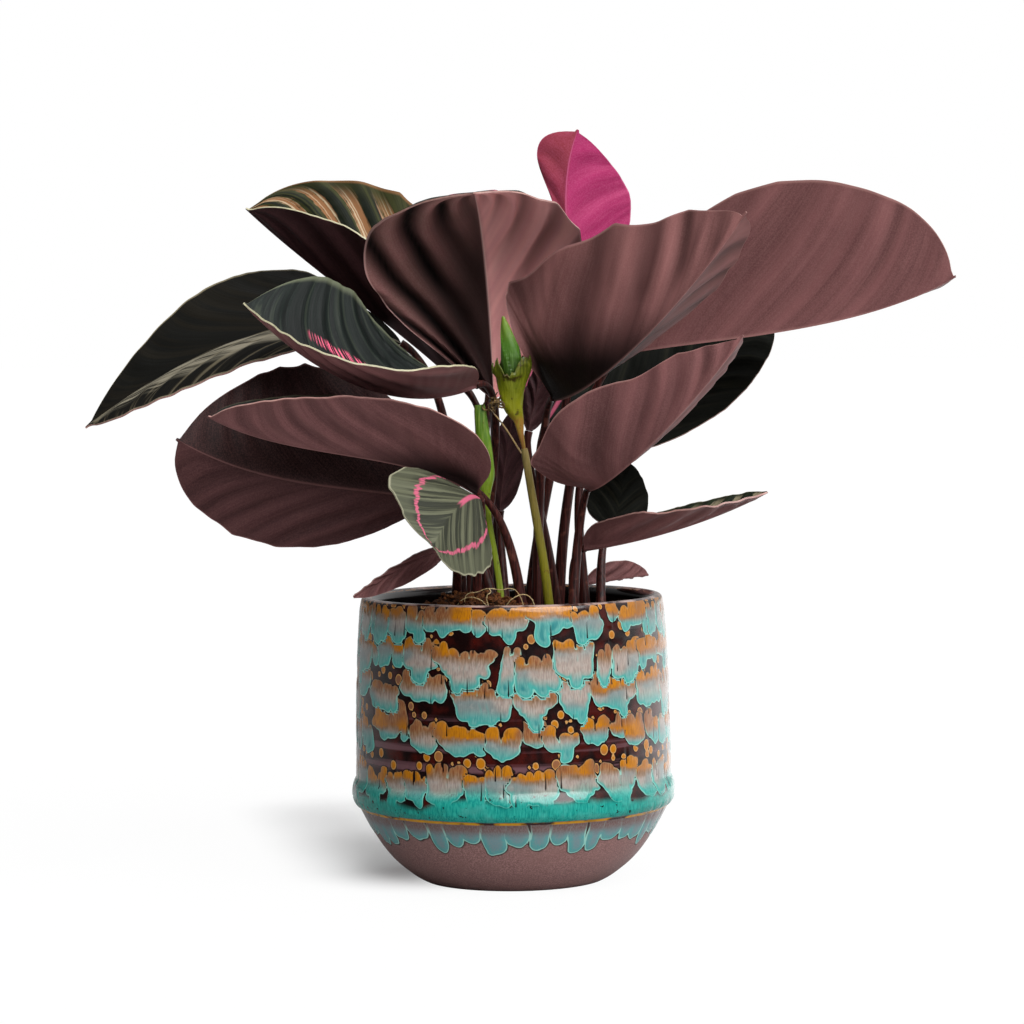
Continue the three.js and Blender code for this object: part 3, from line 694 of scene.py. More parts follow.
def make_shoot(name, shoot, finish):
    """A stem that may swell into a rolled sheath with a folded edge running round it."""
    piece = flat_sheet(f"shoot_{name}", 150, 28)
    stops = [shoot_line(shoot["path"], i / 400) for i in range(401)]
    run = [0.0]
    for first, second in zip(stops, stops[1:]):
        run.append(run[-1] + (second - first).length)
    places, sizes = [p for p, _ in shoot["radius"]], [r for _, r in shoot["radius"]]
    for vertex in piece.data.vertices:
        share, turn = (vertex.co.x + 1) / 2, math.pi * vertex.co.y
        place = float(np.interp(share * run[-1], run, np.linspace(0, 1, 401)))
        centre = shoot_line(shoot["path"], place)
        forward = (shoot_line(shoot["path"], min(1, place + 0.004))
                   - shoot_line(shoot["path"], max(0, place - 0.004))).normalized()
        side = Vector((1, 0, 0))
        side = (side - forward * side.dot(forward)).normalized()
        depth = forward.cross(side)
        radius = sum(float(np.interp(share + step, places, sizes)) for step in (-0.012, 0, 0.012)) / 3
        radius *= 1 - shoot["flat"] / 2 + shoot["flat"] / 2 * math.cos(2 * turn)
        swollen = min(1, max(0, (radius - 2) / 3))
        edge = (turn / (2 * math.pi) + share * 2.2) % 1.0
        radius *= 1 + swollen * (0.10 * (edge - 0.5) + 0.04 * math.sin(turn * 9 + share * 20))
        vertex.co = (centre + side * (radius * math.cos(turn)) + depth * (radius * math.sin(turn))) * MM
    close_ends(piece)
    piece.data.materials.append(finish)
    return piece


def make_round_piece(name, stations, finish, rolled=0.0, torn=0.0):
    """A piece lofted through the stations, with a rolled edge running round it or a torn rim."""
    piece = flat_sheet(name, 84, 48)
    heights, places, sizes = zip(*stations)
    steps = np.concatenate([[0], np.cumsum(np.hypot(np.diff(heights), np.diff(sizes)))])
    for vertex in piece.data.vertices:
        share, turn = (vertex.co.x + 1) / 2 * steps[-1], math.pi * vertex.co.y
        height, place, size = (float(np.interp(share, steps, kind)) for kind in (heights, places, sizes))
        edge = (turn / (2 * math.pi) + 0.35 + height * 0.012) % 1.0
        size *= 1 + rolled * (edge - 0.5) + 0.03 * math.sin(5 * turn + 0.5 * height) * min(1, size / 3)
        if height > SHEATH_RIM_START:
            front = math.exp(-((((turn + 1.75 + math.pi) % (2 * math.pi)) - math.pi) / 0.55) ** 2)
            rags = abs(noise.noise(Vector((math.cos(turn) * 4, math.sin(turn) * 4, 3.3))))
            left = max(0, -math.cos(turn)) ** 2
            kept = 1 - torn * (0.72 * front + rags * (0.35 + 1.1 * left))
            height = SHEATH_RIM_START + (height - SHEATH_RIM_START) * kept
        vertex.co = Vector((place + size * math.cos(turn),
                            SHEATH_DEPTH_PLACE + size * SHEATH_FLATNESS * math.sin(turn), height)) * MM
    close_ends(piece)
    piece.data.materials.append(finish)
    return piece


def shoot_finish(name, stops, streak, spot, spotted=0.66):
    """Plant skin with fine lines along it, coloured by height: stops are (height in mm, colour)."""
    f = Finish(name, roughness=0.4, specular=0.35)
    height = f.times(f.parts_of(f.here)[2], 1 / MM)
    lines = f.drawn_out(f.here, (1300, 1300, 60), 2.0)
    patch = f.noise(f.here, 240.0, 4.0)
    height = f.plus(height, f.scaled(patch, 8.0, -4.0))
    colour = stops[0][1]
    for (low, _), (high, shade) in zip(stops, stops[1:]):
        colour = f.mix(f.span(height, low, high), colour, shade)
    colour = f.mix(f.span(lines, 0.4, 0.75, 0.0, 0.5), colour, streak)
    colour = f.mix(f.span(patch, spotted, spotted + 0.08, 0.0, 0.8), colour, spot)
    f.set(Base_Color=colour, Roughness=f.span(lines, 0.2, 0.8, 0.35, 0.55))
    f.set(Normal=f.bump(f.plus(lines, patch), 0.5, 0.0006))
    return f.material


def tube_along(name, points, size, finish):
    """A thin round fibre through the points, as a mesh."""
    fibre = new_curve(name)
    fibre.data.splines.clear()
    line = fibre.data.splines.new("BEZIER")
    line.bezier_points.add(len(points) - 1)
    for stop, place in zip(line.bezier_points, points):
        stop.co = Vector(place) * MM
        stop.handle_left_type = stop.handle_right_type = "AUTO"
    return curve_to_mesh(fibre, size, 1, finish)


def join_pieces(name, pieces):
    bpy.ops.object.select_all(action="DESELECT")
    for piece in pieces:
        piece.select_set(True)
    bpy.context.view_layer.objects.active = pieces[0]
    bpy.ops.object.join()
    joined = bpy.context.object
    joined.name = joined.data.name = name
    return joined


def make_open_shoot():
    """The opening shoot: its stem, the torn sheath, the rolled leaf inside it and dry scraps at its foot."""
    stem_skin = shoot_finish(
        "shoot stem", [(120, "5f5a10"), (150, "767012"), (185, "74642c"), (206, "8a7848")], "4c4814", "5a3018")
    sheath_skin = shoot_finish(
        "torn sheath", [(208, "7a4a26"), (217, "94682c"), (225, "7a7c06"), (236, "5e6604"), (244, "444c08"),
                        (252, "30360a")], "85881c", "3c2a0a", 0.6)
    roll_skin = shoot_finish(
        "rolled green leaf", [(238, "1a2604"), (245, "284408"), (254, "3c6610"), (266, "6c8426")],
        "62883a", "243c0a")
    dry_skin = shoot_finish(
        "dry scraps", [(200, "8a7450"), (222, "7d6440"), (231, "3f2a12")], "a88a4a", "1c0f08", 0.5)
    pieces = [make_shoot("open_stem", SHOOTS["open_stem"], stem_skin),
              make_round_piece("sheath", SHEATH_OUTSIDE + SHEATH_INSIDE, sheath_skin, torn=1.0),
              make_round_piece("rolled_leaf", ROLLED_LEAF, roll_skin, rolled=0.22),
              tube_along("dry_strip", [(-9, -39.5, 225), (-3, -41, 217.5), (5.2, -41, 204.5)], 0.42,
                         dry_skin)]
    chance = random.Random(4)
    for _ in range(7):
        points = [(-7 + chance.gauss(0, 2.6), -39.5 + chance.gauss(0, 0.9), 228.5 + chance.gauss(0, 2.6))
                  for _ in range(4)]
        pieces.append(tube_along("dry_scrap", points, chance.uniform(0.25, 0.5), dry_skin))
    finish_piece(join_pieces("shoot_open_whole", pieces), ["shoot_open"], 60)


make_open_shoot()
finish_piece(make_shoot("slim", SHOOTS["slim"], shoot_finish(
    "slim shoot", [(120, "62660e"), (175, "6c7e0e"), (205, "527410"), (226, "3a5e0e")],
    "86983a", "4a4a16", 0.62)), ["shoot_slim"], 60)


# ---------------------------------------------------------------- pot

POT_START = (43, 0)
POT_CURVES = [
    ((56, 6), (63.5, 14), (74, 35.5)),
    ((78.1, 37), (78.5, 45), (75.5, 50)),
    ((75.5, 80), (74.5, 116), (72.5, 133)),
    ((72, 137), (66, 137), (65, 132)),
    ((68, 116), (68, 70), (68, 45)),
    ((68, 24), (56, 12), (38, 7)),
]
POT_CUTS = [26, 18, 92, 14, 22, 10]
POT_TURNS = 510
WALL_RADIUS = 75.5
WALL_LENGTH = 2 * math.pi * WALL_RADIUS
LEDGE_TOP, LEDGE_BOTTOM, CRACK_COUNT = 43, 41, 190


def pot_section():
    """The pot's section from the foot's edge up the outside, over the lip and down the inside."""
    line, start = [Vector(POT_START)], Vector(POT_START)
    for (first, second, end), cuts in zip(POT_CURVES, POT_CUTS):
        points = [start, Vector(first), Vector(second), Vector(end)]
        line += [bezier(points, (step + 1) / cuts) for step in range(cuts)]
        start = Vector(end)
    return line


def make_pot(finish_outside):
    section = pot_section()
    bpy.ops.object.select_all(action="DESELECT")
    bpy.ops.mesh.primitive_circle_add(vertices=3, radius=0.01)
    pot = bpy.context.object
    pot.name = pot.data.name = "pot_glazed"
    bpy.ops.object.mode_set(mode="EDIT")
    bpy.ops.mesh.select_all(action="SELECT")
    bpy.ops.mesh.merge(type="CENTER")
    here = Vector((0, 0, 0))
    for point in [Vector((0, 0))] + section + [Vector((0, 7))]:
        there = Vector((0, -point.x, point.y)) * MM
        if point.x == 0 and point.y == 0:
            bpy.ops.transform.translate(value=there - here)
        else:
            bpy.ops.mesh.extrude_region_move(TRANSFORM_OT_translate={"value": there - here})
        here = there
    bpy.ops.mesh.select_all(action="SELECT")
    bpy.ops.mesh.spin(steps=POT_TURNS, angle=2 * math.pi, center=(0, 0, 0), axis=(0, 0, 1))
    bpy.ops.object.mode_set(mode="OBJECT")
    close_and_face_out(pot, 0.00002)
    glaze_pot(pot, section)
    pot.data.materials.append(finish_outside)
    return finish_piece(pot, ["pot"], 40)


def glaze_clusters():
    """Seeded clusters of run glaze, the lowest row first, since the upper rows run over the lower ones. Each
    is its top, its bottom, and its upright rounded strips: place round, top, bottom, radius, and how softly
    the strip joins the others. A cluster is a body under a row of rounded tops, run out below into drops."""
    chance = random.Random(23)
    clusters = []
    for row, (top, tall) in enumerate(((60.5, 17), (82, 18), (101.5, 20), (119, 20), (135.5, 18))):
        place = chance.uniform(0, 8)
        while place < WALL_LENGTH - 6:
            wide = chance.choice((9, 12, 15, 18, 22, 27, 32))
            middle, start = place + wide / 2, row > 1 or chance.random() < 0.94
            place += wide + chance.uniform(-5.0, 1.2) + (0 if start else 5)
            high = top + chance.uniform(-3.5, 3.0) * (0.5 if row == 4 else 1)
            deep = LEDGE_TOP
            if row > 0:
                deep = high - tall * chance.uniform(0.6, 1.15) * (0.75 + 0.25 * min(1, wide / 15))
            lean, narrow = chance.uniform(-0.22, 0.22), chance.uniform(0.35, 0.85)
            strips = []

            def strip(away, upper, lower, size, blend):
                around = (middle + away * wide) % WALL_LENGTH
                strips.append((around, upper + away * wide * lean, lower, size, blend))

            def outline(away):
                return deep + (high - deep) * narrow * abs(2 * away) ** 1.6

            columns = max(1, round(wide / 3.4))
            for step in range(columns):
                away = ((step + 0.5) / columns - 0.5) * (wide - 5) / wide
                strip(away, high - 5.2 - 5 * away * away, outline(away) + 1.5, 2.8, 1.0)
            tops = max(2, round(wide / 4.9))
            for step in range(tops):
                away = ((step + 0.5) / tops - 0.5) * 0.98 + chance.uniform(-0.4, 0.4) / wide
                size = chance.uniform(2.1, 2.9)
                tip = high - 12 * away * away * chance.uniform(0.2, 1.5) - chance.uniform(-2.0, 3.0)
                strip(away, tip, min(tip - 2 * size - 0.5, outline(away) + 3), size, 0.08)
            lobes = max(1, round(wide / 7.5))
            for step in range(lobes):
                away = ((step + 0.5) / lobes - 0.5) * 0.84 + chance.uniform(-1.2, 1.2) / wide
                size = chance.uniform(2.9, 4.4)
                end = outline(away) - chance.uniform(-3.0, 3.0)
                if chance.random() < 0.25:
                    end -= chance.uniform(2.5, 5.5)
                strip(away, end + 2 * size + 6, end, size, 1.0)
            clusters.append((high - chance.uniform(-1.5, 2.5), deep, strips))
    return clusters


def spot_shapes():
    """Seeded round spots of glaze between the rows of drips."""
    chance = random.Random(5)
    spots = []
    rows = ((134.5, 1.4, 110), (103, 3.4, 190), (84, 3.2, 200), (64, 3.2, 190), (120, 8, 80))
    for height, spread, count in rows:
        for _ in range(count):
            size = chance.choice((0.8, 1.2, 1.5, 1.7, 1.9, 2.2))
            spot = (chance.uniform(0, WALL_LENGTH), height + chance.gauss(0, spread), size)
            if all(math.hypot(spot[0] - x, spot[1] - z) > size + other + 0.5 for x, z, other in spots):
                spots.append(spot)
    return spots


def smooth_step(values, low, high):
    share = np.clip((values - low) / (high - low), 0, 1)
    return share * share * (3 - 2 * share)


def glaze_pot(pot, section):
    """Works out the glaze at each point of the pot, keeps it as attributes, and raises the drips a little."""
    mesh = pot.data
    total = len(mesh.vertices)
    places = np.empty(total * 3)
    mesh.vertices.foreach_get("co", places)
    xyz = places.reshape(-1, 3) / MM
    radius, height = np.hypot(xyz[:, 0], xyz[:, 1]), xyz[:, 2]
    turn = np.arctan2(xyz[:, 0], -xyz[:, 1])
    line = np.array([tuple(p) for p in section])
    outside_points = sum(POT_CUTS[:4]) + 1 - 4
    nearest = nearest_on(line, radius, height)
    outside = (nearest < outside_points) & (radius > 42.9)
    around = (turn + math.pi) * WALL_RADIUS

    def noise_at(scale, shift):
        return np.array([noise.noise(Vector((x * scale + shift, y * scale, z * scale))) for x, y, z in xyz])

    around_drip = around + 2.2 * noise_at(0.11, 0)
    height_drip = height + 0.9 * noise_at(0.3, 9)

    drip = np.full(total, -9.0)
    depth = np.zeros(total)
    lobe = np.zeros(total)
    crack = np.full(total, 9.0)

    def round_from(values, place):
        """How far round the wall the values lie from the place, the short way."""
        return (values - place + WALL_LENGTH / 2) % WALL_LENGTH - WALL_LENGTH / 2

    def strip_at(place, top, bottom, size, mask):
        """Signed depth inside one upright rounded strip, for the points in mask."""
        aside = np.abs(round_from(around_drip[mask], place))
        low, high = bottom + size * 0.9, max(top - size, bottom + size * 0.95)
        past = np.clip(height_drip[mask], low, high)
        swell = size * (1 - 0.12 * smooth_step(height_drip[mask], low, high))
        return swell - np.hypot(aside, height_drip[mask] - past)

    for cluster_top, cluster_bottom, strips in glaze_clusters():
        first = strips[0][0]
        low, high = min(strip[2] for strip in strips), max(strip[1] for strip in strips)
        near = (height_drip < high + 5) & (height_drip > low - 5)
        near &= np.abs(round_from(around_drip, first)) < 44
        mask = np.flatnonzero(outside & near & (height > LEDGE_BOTTOM))
        field = np.full(len(mask), -9.0)
        for place, top, bottom, size, join in strips:
            inside = strip_at(place, top, bottom, size, mask)
            pick = np.clip(0.5 + 0.5 * (inside - field) / join, 0, 1)
            field += (inside - field) * pick + join * pick * (1 - pick)
        over = field > -0.6
        depth[mask] = np.where(over, cluster_top - height[mask], depth[mask])
        lobe[mask] = np.where(over, height[mask] - cluster_bottom, lobe[mask])
        drip[mask] = np.where(over, field, np.maximum(drip[mask], field))

    fringe = np.full(total, -9.0)
    chance = random.Random(31)
    place = 0.0
    while place < WALL_LENGTH - 3:
        size = chance.uniform(4.4, 6.6)
        place += size
        mask = np.flatnonzero(outside & (height < LEDGE_BOTTOM) & (height > 12))
        bottom = chance.uniform(19.5, 26.5)
        inside = strip_at(place, 44, bottom, size, mask)
        fringe[mask] = np.maximum(fringe[mask], inside)
        place += size * chance.uniform(0.72, 1.05)

    dot = np.full(total, -9.0)
    for place, level, size in spot_shapes():
        aside = round_from(around, place)
        mask = np.flatnonzero(outside & (np.abs(height - level) < size + 3) & (np.abs(aside) < size + 3))
        inside = size - np.hypot(aside[mask], (height[mask] - level) * 0.85)
        dot[mask] = np.maximum(dot[mask], inside)
    dot = np.where(drip > -0.45, np.minimum(dot, -0.45 - drip), dot)

    column = np.round((turn + math.pi) / (2 * math.pi) * POT_TURNS).astype(int) % POT_TURNS
    chance = random.Random(77)
    for _ in range(CRACK_COUNT):
        at, low = chance.randrange(POT_TURNS), chance.uniform(44, 124)
        reach = chance.uniform(4, 9)
        aside = np.abs((column - at + POT_TURNS // 2) % POT_TURNS - POT_TURNS // 2) * WALL_LENGTH / POT_TURNS
        mask = np.flatnonzero(outside & (aside < 3) & (height > low - 2) & (height < low + reach + 2))
        width = 0.36 * (1 - np.clip((height[mask] - low) / reach, 0, 1))
        beyond = np.maximum(0, np.maximum(low - height[mask], height[mask] - low - reach))
        crack[mask] = np.minimum(crack[mask], aside[mask] - width + beyond)

    kept = (("drip", drip, -4, 6), ("depth", depth, -5, 60), ("lobe", lobe, -5, 60), ("fringe", fringe, -4, 8),
            ("dot", dot, -3, 3), ("crack", crack, -1, 3), ("outside", outside.astype(float), 0, 1))
    for name, values, least, most in kept:
        values = np.clip(values, least, most).astype(np.float32)
        mesh.attributes.new(name, "FLOAT", "POINT").data.foreach_set("value", values)

    raised = 0.2 * smooth_step(drip, -0.2, 1.6) + 0.1 * np.exp(-((drip - 0.9) / 0.8) ** 2) * (lobe < 9)
    raised += 0.12 * smooth_step(dot, -0.2, 0.8)
    raised += 0.26 * smooth_step(fringe, -0.2, 1.6) * (height < 40)
    raised -= 0.25 * smooth_step(-crack, -0.4, 0.3)
    rings = 0.02 * np.sin(height * 0.9 + 1.5 * np.sin(turn)) * smooth_step(height, 48, 56)
    move = np.where(outside, raised * smooth_step(137 - height, 1, 8) + rings - 0.55, 0)
    ahead, back = np.roll(line, -1, axis=0), np.roll(line, 1, axis=0)
    way = ahead - back
    way[0], way[-1] = line[1] - line[0], line[-1] - line[-2]
    norm = np.stack([way[:, 1], -way[:, 0]], axis=1)
    norm /= np.linalg.norm(norm, axis=1)[:, None]
    fade = smooth_step(height, 0.5, 6) * smooth_step(136.2 - height, 0, 3)
    out_radius = radius + norm[nearest, 0] * move * fade
    out_height = height + norm[nearest, 1] * move * fade
    scale = np.where(radius > 0.01, out_radius / np.maximum(radius, 0.01), 1)
    xyz[:, :2] *= scale[:, None]
    xyz[:, 2] = out_height
    mesh.vertices.foreach_set("co", (xyz * MM).astype(np.float32).ravel())
    mesh.update()


def nearest_on(line, radius, height):
    """The section's nearest point for every point of the pot, a block at a time."""
    result = np.empty(len(radius), dtype=int)
    for start in range(0, len(radius), 20000):
        part = slice(start, start + 20000)
        far = ((line[None, :, 0] - radius[part, None]) ** 2 + (line[None, :, 1] - height[part, None]) ** 2)
        result[part] = np.argmin(far, axis=1)
    return result


def pot_finish():
    f = Finish("drip glaze", roughness=0.2, coat=0.3, coat_roughness=0.06, specular=0.35)
    drip, depth, lobe = f.attribute("drip"), f.attribute("depth"), f.attribute("lobe")
    fringe, dot, crack, outside = (f.attribute(n) for n in ("fringe", "dot", "crack", "outside"))
    height = f.times(f.parts_of(f.here)[2], 1 / MM)
    streaks = f.drawn_out(f.here, (1700, 1700, 260), 2.0)
    soft = f.noise(f.here, 90.0, 4.0)
    grain = f.noise(f.here, 1500.0, 3.0)
    bands = f.drawn_out(f.here, (6, 6, 260), 2.0)

    ground = f.mix(f.span(soft, 0.4, 0.66), "100303", "3a0a05")
    band_zone = f.times(f.span(height, 88.0, 78.0), f.span(height, 50.0, 60.0))
    band = f.times(f.span(bands, 0.5, 0.66), band_zone)
    ground = f.mix(f.times(band, 0.75), ground, "6a4a50")

    patchy = f.noise(f.here, 38.0, 1.0)
    mottled = f.noise(f.here, 330.0, 3.0)
    ochre = f.mix(f.span(streaks, 0.35, 0.75), "ac6c0a", "84500e")
    ochre = f.mix(f.span(patchy, 0.45, 0.57), ochre, f.mix(f.span(streaks, 0.35, 0.7), "74462c", "8e6440"))
    umber = f.mix(f.span(streaks, 0.3, 0.7), "6a4e34", "8e6e54")
    lilac = f.mix(f.span(streaks, 0.25, 0.7), "84766e", "a0948c")
    lilac = f.mix(f.span(patchy, 0.4, 0.55, 0.7, 0.0), lilac, "5c7678")
    lilac = f.mix(f.span(mottled, 0.5, 0.7, 0.0, 0.4), lilac, "969894")
    teal = f.mix(f.span(streaks, 0.3, 0.75), "3c8684", "5c9c94")
    fading = f.math("MAXIMUM", f.scaled(patchy, 9.0, -3.2), 0.0)
    wander = f.scaled(soft, 8.0, -4.0)
    ragged = f.plus(f.plus(depth, wander), f.scaled(streaks, 0.9, -0.45))
    body = f.mix(f.span(ragged, 3.0, 5.2), ochre, umber)
    body = f.mix(f.span(ragged, 4.2, f.plus(7.2, fading)), body, lilac)
    low_part = f.plus(lobe, f.scaled(patchy, 10.0, -5.0))
    teal_part = f.times(f.span(low_part, 8.5, 2.0, 0.0, 0.95), f.span(depth, 5.0, 8.0))
    body = f.mix(teal_part, body, teal)
    bright = f.times(f.span(drip, 2.0, 0.5), f.span(depth, 6.5, 11.5))
    body = f.mix(f.times(bright, 0.85), body, "36968e")
    heart = f.times(f.span(drip, 2.2, 3.6), f.span(low_part, 5.0, 1.0, 0.0, 0.75))
    body = f.mix(heart, body, "1c6c70")
    rim = f.times(f.span(drip, 0.6, 0.2), f.span(depth, 3.0, 7.0, 0.1, 1.0))
    body = f.mix(f.times(rim, 0.85), body, "84bcae")
    in_crack = f.span(crack, 0.2, -0.1)
    body = f.mix(in_crack, body, "120707")
    colour = f.mix(f.span(drip, -0.12, 0.12), f.mix(f.span(drip, -0.9, -0.1), ground, "070303"), body)

    spot = f.mix(f.span(patchy, 0.45, 0.6), "a4660a", "7a5038")
    spot = f.mix(f.span(dot, 0.55, 0.25), spot, "b08450")
    colour = f.mix(f.span(dot, -0.1, 0.12), f.mix(f.span(dot, -0.7, -0.1), colour, "0b0404"), spot)

    large = f.noise(f.here, 26.0, 2.0)
    edge = f.plus(height, f.scaled(large, 16.0, -8.0))
    gap = f.span(f.noise(f.here, 19.0, 1.0), 0.33, 0.36)
    covered = f.span(drip, -0.3, 0.6)
    reach = f.mix(covered, f.span(edge, 47.0, 43.5), f.span(edge, 54.0, 44.5))
    belt = f.times(reach, f.times(f.span(height, 36.2, 36.9), gap))
    belt_colour = f.mix(f.span(streaks, 0.3, 0.75), "0c7870", "269a8c")
    belt_colour = f.mix(f.span(soft, 0.5, 0.7, 0.0, 0.6), belt_colour, "449a90")
    speck = f.span(f.noise(f.here, 420.0, 2.0), 0.66, 0.69)
    belt_colour = f.mix(f.math("MAXIMUM", speck, in_crack), belt_colour, "0a2220")
    colour = f.mix(belt, colour, belt_colour)
    line = f.times(f.span(height, 34.9, 35.4), f.span(height, 36.8, 36.2))
    line = f.times(line, f.span(f.noise(f.here, 60.0, 3.0), 0.42, 0.54))
    low_zone = f.span(height, 35.6, 35.0)
    bowl = f.mix(f.span(grain, 0.35, 0.7), "785553", "a27a76")
    bowl = f.mix(f.span(soft, 0.4, 0.65, 0.0, 0.5), bowl, "86625e")
    hang = f.mix(f.span(height, 33.5, 27.5), "705450", "6b8c92")
    hang = f.mix(f.times(f.span(fringe, 4.0, 1.0), f.span(height, 32.0, 27.0)), hang, "4c9c9c")
    hang = f.mix(f.span(streaks, 0.3, 0.75, 0.0, 0.4), hang, "86888a")
    low_rim = f.times(f.span(fringe, 0.75, 0.3), f.span(height, 34.0, 30.0, 0.1, 0.75))
    hang = f.mix(low_rim, hang, "9fd2c4")
    low = f.mix(f.span(fringe, -0.12, 0.12), f.mix(f.span(fringe, -0.9, -0.1), bowl, "251619"), hang)
    colour = f.mix(low_zone, colour, low)
    colour = f.mix(f.times(line, 0.9), colour, "dd9c18")
    lip = f.span(height, 134.9, 135.3)
    colour = f.mix(lip, colour, f.mix(f.span(soft, 0.4, 0.6), "3a2420", "a58c84"))
    colour = f.mix(outside, "0a0606", colour)

    bare = f.times(low_zone, f.span(fringe, 0.1, -0.1))
    shiny = f.span(streaks, 0.0, 1.0, 0.14, 0.26)
    f.set(Base_Color=colour, Roughness=f.scaled(bare, 0.34, shiny))
    f.set(Normal=f.bump(f.scaled(grain, 0.5, soft), 0.1, 0.0005))
    return f.material


make_pot(pot_finish())


# ---------------------------------------------------------------- soil

SOIL_EDGE_RADIUS = 64.45
# The share of the grid that lies flat, the rest being the skirt, and how many crumbs and fibres are tried.
SOIL_TOP_SHARE, CRUMB_COUNT, FIBRE_COUNT = 0.955, 640, 110


def soil_height(x, y):
    mound = 16 * math.exp(-((math.hypot(x + 18, y + 34) / 26) ** 2) / 2)
    rough = math.sin(0.31 * x + 1.3) * math.cos(0.27 * y) + 0.6 * math.sin(0.13 * x - 0.19 * y)
    return 121 + mound + 0.9 * rough


def make_soil(finish):
    """The top of the soil as a grid drawn round, with its lumps, and a short skirt down the pot's wall."""
    piece = flat_sheet("soil_bed", 150, 150)
    for vertex in piece.data.vertices:
        x, y = vertex.co.x, vertex.co.y
        radial = max(abs(x), abs(y))
        flat = Vector((x, y, 0))
        if radial > 0:
            flat *= radial / flat.length
        reach = min(1, flat.length / SOIL_TOP_SHARE)
        drop = max(0, (flat.length - SOIL_TOP_SHARE) / (1 - SOIL_TOP_SHARE))
        way = flat.normalized() if flat.length > 0 else flat
        place = way * (reach * (SOIL_EDGE_RADIUS - 0.6))
        level = soil_height(place.x, place.y)
        lumps = 1.1 * noise.noise(Vector((place.x * 0.22, place.y * 0.22, 1.5)))
        lumps += 0.8 * abs(noise.noise(Vector((place.x * 0.7, place.y * 0.7, 5.5))))
        lumps += 0.4 * noise.noise(Vector((place.x * 1.7, place.y * 1.7, 8.5)))
        vertex.co = Vector((place.x, place.y, level + lumps - 0.6 - 12 * drop)) * MM
    select_only(piece)
    bpy.ops.object.mode_set(mode="EDIT")
    bpy.ops.mesh.select_all(action="DESELECT")
    bpy.ops.mesh.select_non_manifold()
    bpy.ops.mesh.edge_face_add()
    bpy.ops.object.mode_set(mode="OBJECT")
    close_and_face_out(piece, 0.000001)
    piece.data.materials.append(finish)
    return finish_piece(piece, ["soil"])


def make_crumbs(finish):
    """Coir crumbs lying on the soil, most of them on the mound."""
    chance = random.Random(8)
    crumbs = []
    for number in range(CRUMB_COUNT):
        if number % 4:
            x, y = -17 + chance.gauss(0, 14), -42 + chance.gauss(0, 9)
        else:
            turn, reach = chance.uniform(0, 2 * math.pi), 62 * math.sqrt(chance.random())
            x, y = reach * math.cos(turn), reach * math.sin(turn)
        if math.hypot(x, y) > 61.5:
            continue
        size, lift = chance.uniform(0.5, 1.7), 0.0 if number % 4 == 0 else chance.uniform(0, 2.4)
        bpy.ops.mesh.primitive_ico_sphere_add(subdivisions=1, radius=size * MM)
        crumb = bpy.context.object
        for vertex in crumb.data.vertices:
            vertex.co *= chance.uniform(0.6, 1.25)
            vertex.co.z *= 0.75
        spin = Matrix.Rotation(chance.uniform(0, 6.28), 4, "Z")
        spin = spin @ Matrix.Rotation(chance.uniform(-0.6, 0.6), 4, "X")
        place = Vector((x, y, soil_height(x, y) + size * 0.3 + lift)) * MM
        crumb.data.transform(Matrix.Translation(place) @ spin)
        crumbs.append(crumb)
    heap = join_pieces("soil_crumbs", crumbs)
    heap.data.materials.append(finish)
    return finish_piece(heap, (), 30)


def make_fibres(pale, brown):
    """The pale root loops on the mound and short coir fibres all over the soil."""
    chance = random.Random(21)
    fibres = []

    def over(x, y, lift):
        return x, y, soil_height(x, y) + lift

    loops = [
        [over(-22, -51, 0), (-20.6, -52, 139.8), (-16, -52.6, 140.9), (-11, -53, 142.5), (-5, -53.5, 141.9),
         (0.5, -53, 142.2), (3.2, -53, 140), over(6.5, -51, 0)],
        [over(-10, -54, -1), (-11.2, -54, 139.5), (-9.6, -54.2, 141), (-10.4, -54, 142.6)],
        [over(-27, -50, 0), (-21, -52, 138.2), (-15, -53, 137.6), over(-11, -52, 0.4)],
        [over(-4, -52, 0), (1, -54, 138.2), (8, -53, 138.8), over(11, -52, 0)],
    ]
    for points in loops:
        fibres.append(tube_along("fibre", points, chance.uniform(0.18, 0.27), pale))
    for number in range(FIBRE_COUNT):
        x, y = (-16 + chance.gauss(0, 19), -32 + chance.gauss(0, 15)) if number % 4 else \
            (chance.uniform(-45, 45), chance.uniform(-45, 45))
        if math.hypot(x, y) > 56:
            continue
        way, step = chance.uniform(0, 2 * math.pi), chance.uniform(1.2, 2.6)
        points = []
        for stop in range(4):
            points.append(over(x, y, chance.uniform(0.2, 1.6)))
            way += chance.uniform(-0.7, 0.7)
            x, y = x + step * math.cos(way), y + step * math.sin(way)
        fibres.append(tube_along("fibre", points, chance.uniform(0.14, 0.26), brown))
    tangle = join_pieces("soil_fibres", fibres)
    return finish_piece(tangle, (), 60)


def soil_finish(name, dark, brown, light):
    f = Finish(name, roughness=0.9, specular=0.2)
    lumps = f.noise(f.here, 260.0, 5.0, 0.7)
    grains = f.noise(f.here, 1100.0, 4.0, 0.7)
    colour = f.mix(f.span(lumps, 0.35, 0.65), dark, brown)
    colour = f.mix(f.span(grains, 0.55, 0.75, 0.0, 0.8), colour, light)
    f.set(Base_Color=colour, Roughness=f.span(grains, 0.2, 0.8, 0.75, 1.0))
    f.set(Normal=f.bump(f.plus(lumps, grains), 0.8, 0.0012))
    return f.material


make_soil(soil_finish("damp coir", "0f0907", "2e1c12", "5a3a22"))
make_crumbs(soil_finish("coir crumbs", "2a140a", "6a3e1e", "a87440"))
make_fibres(soil_finish("root fibre", "a58a5c", "cdb88a", "e6d8b0"),
            soil_finish("coir fibre", "4a2c16", "7d5228", "a87c46"))


# ---------------------------------------------------------------- floor, light and camera

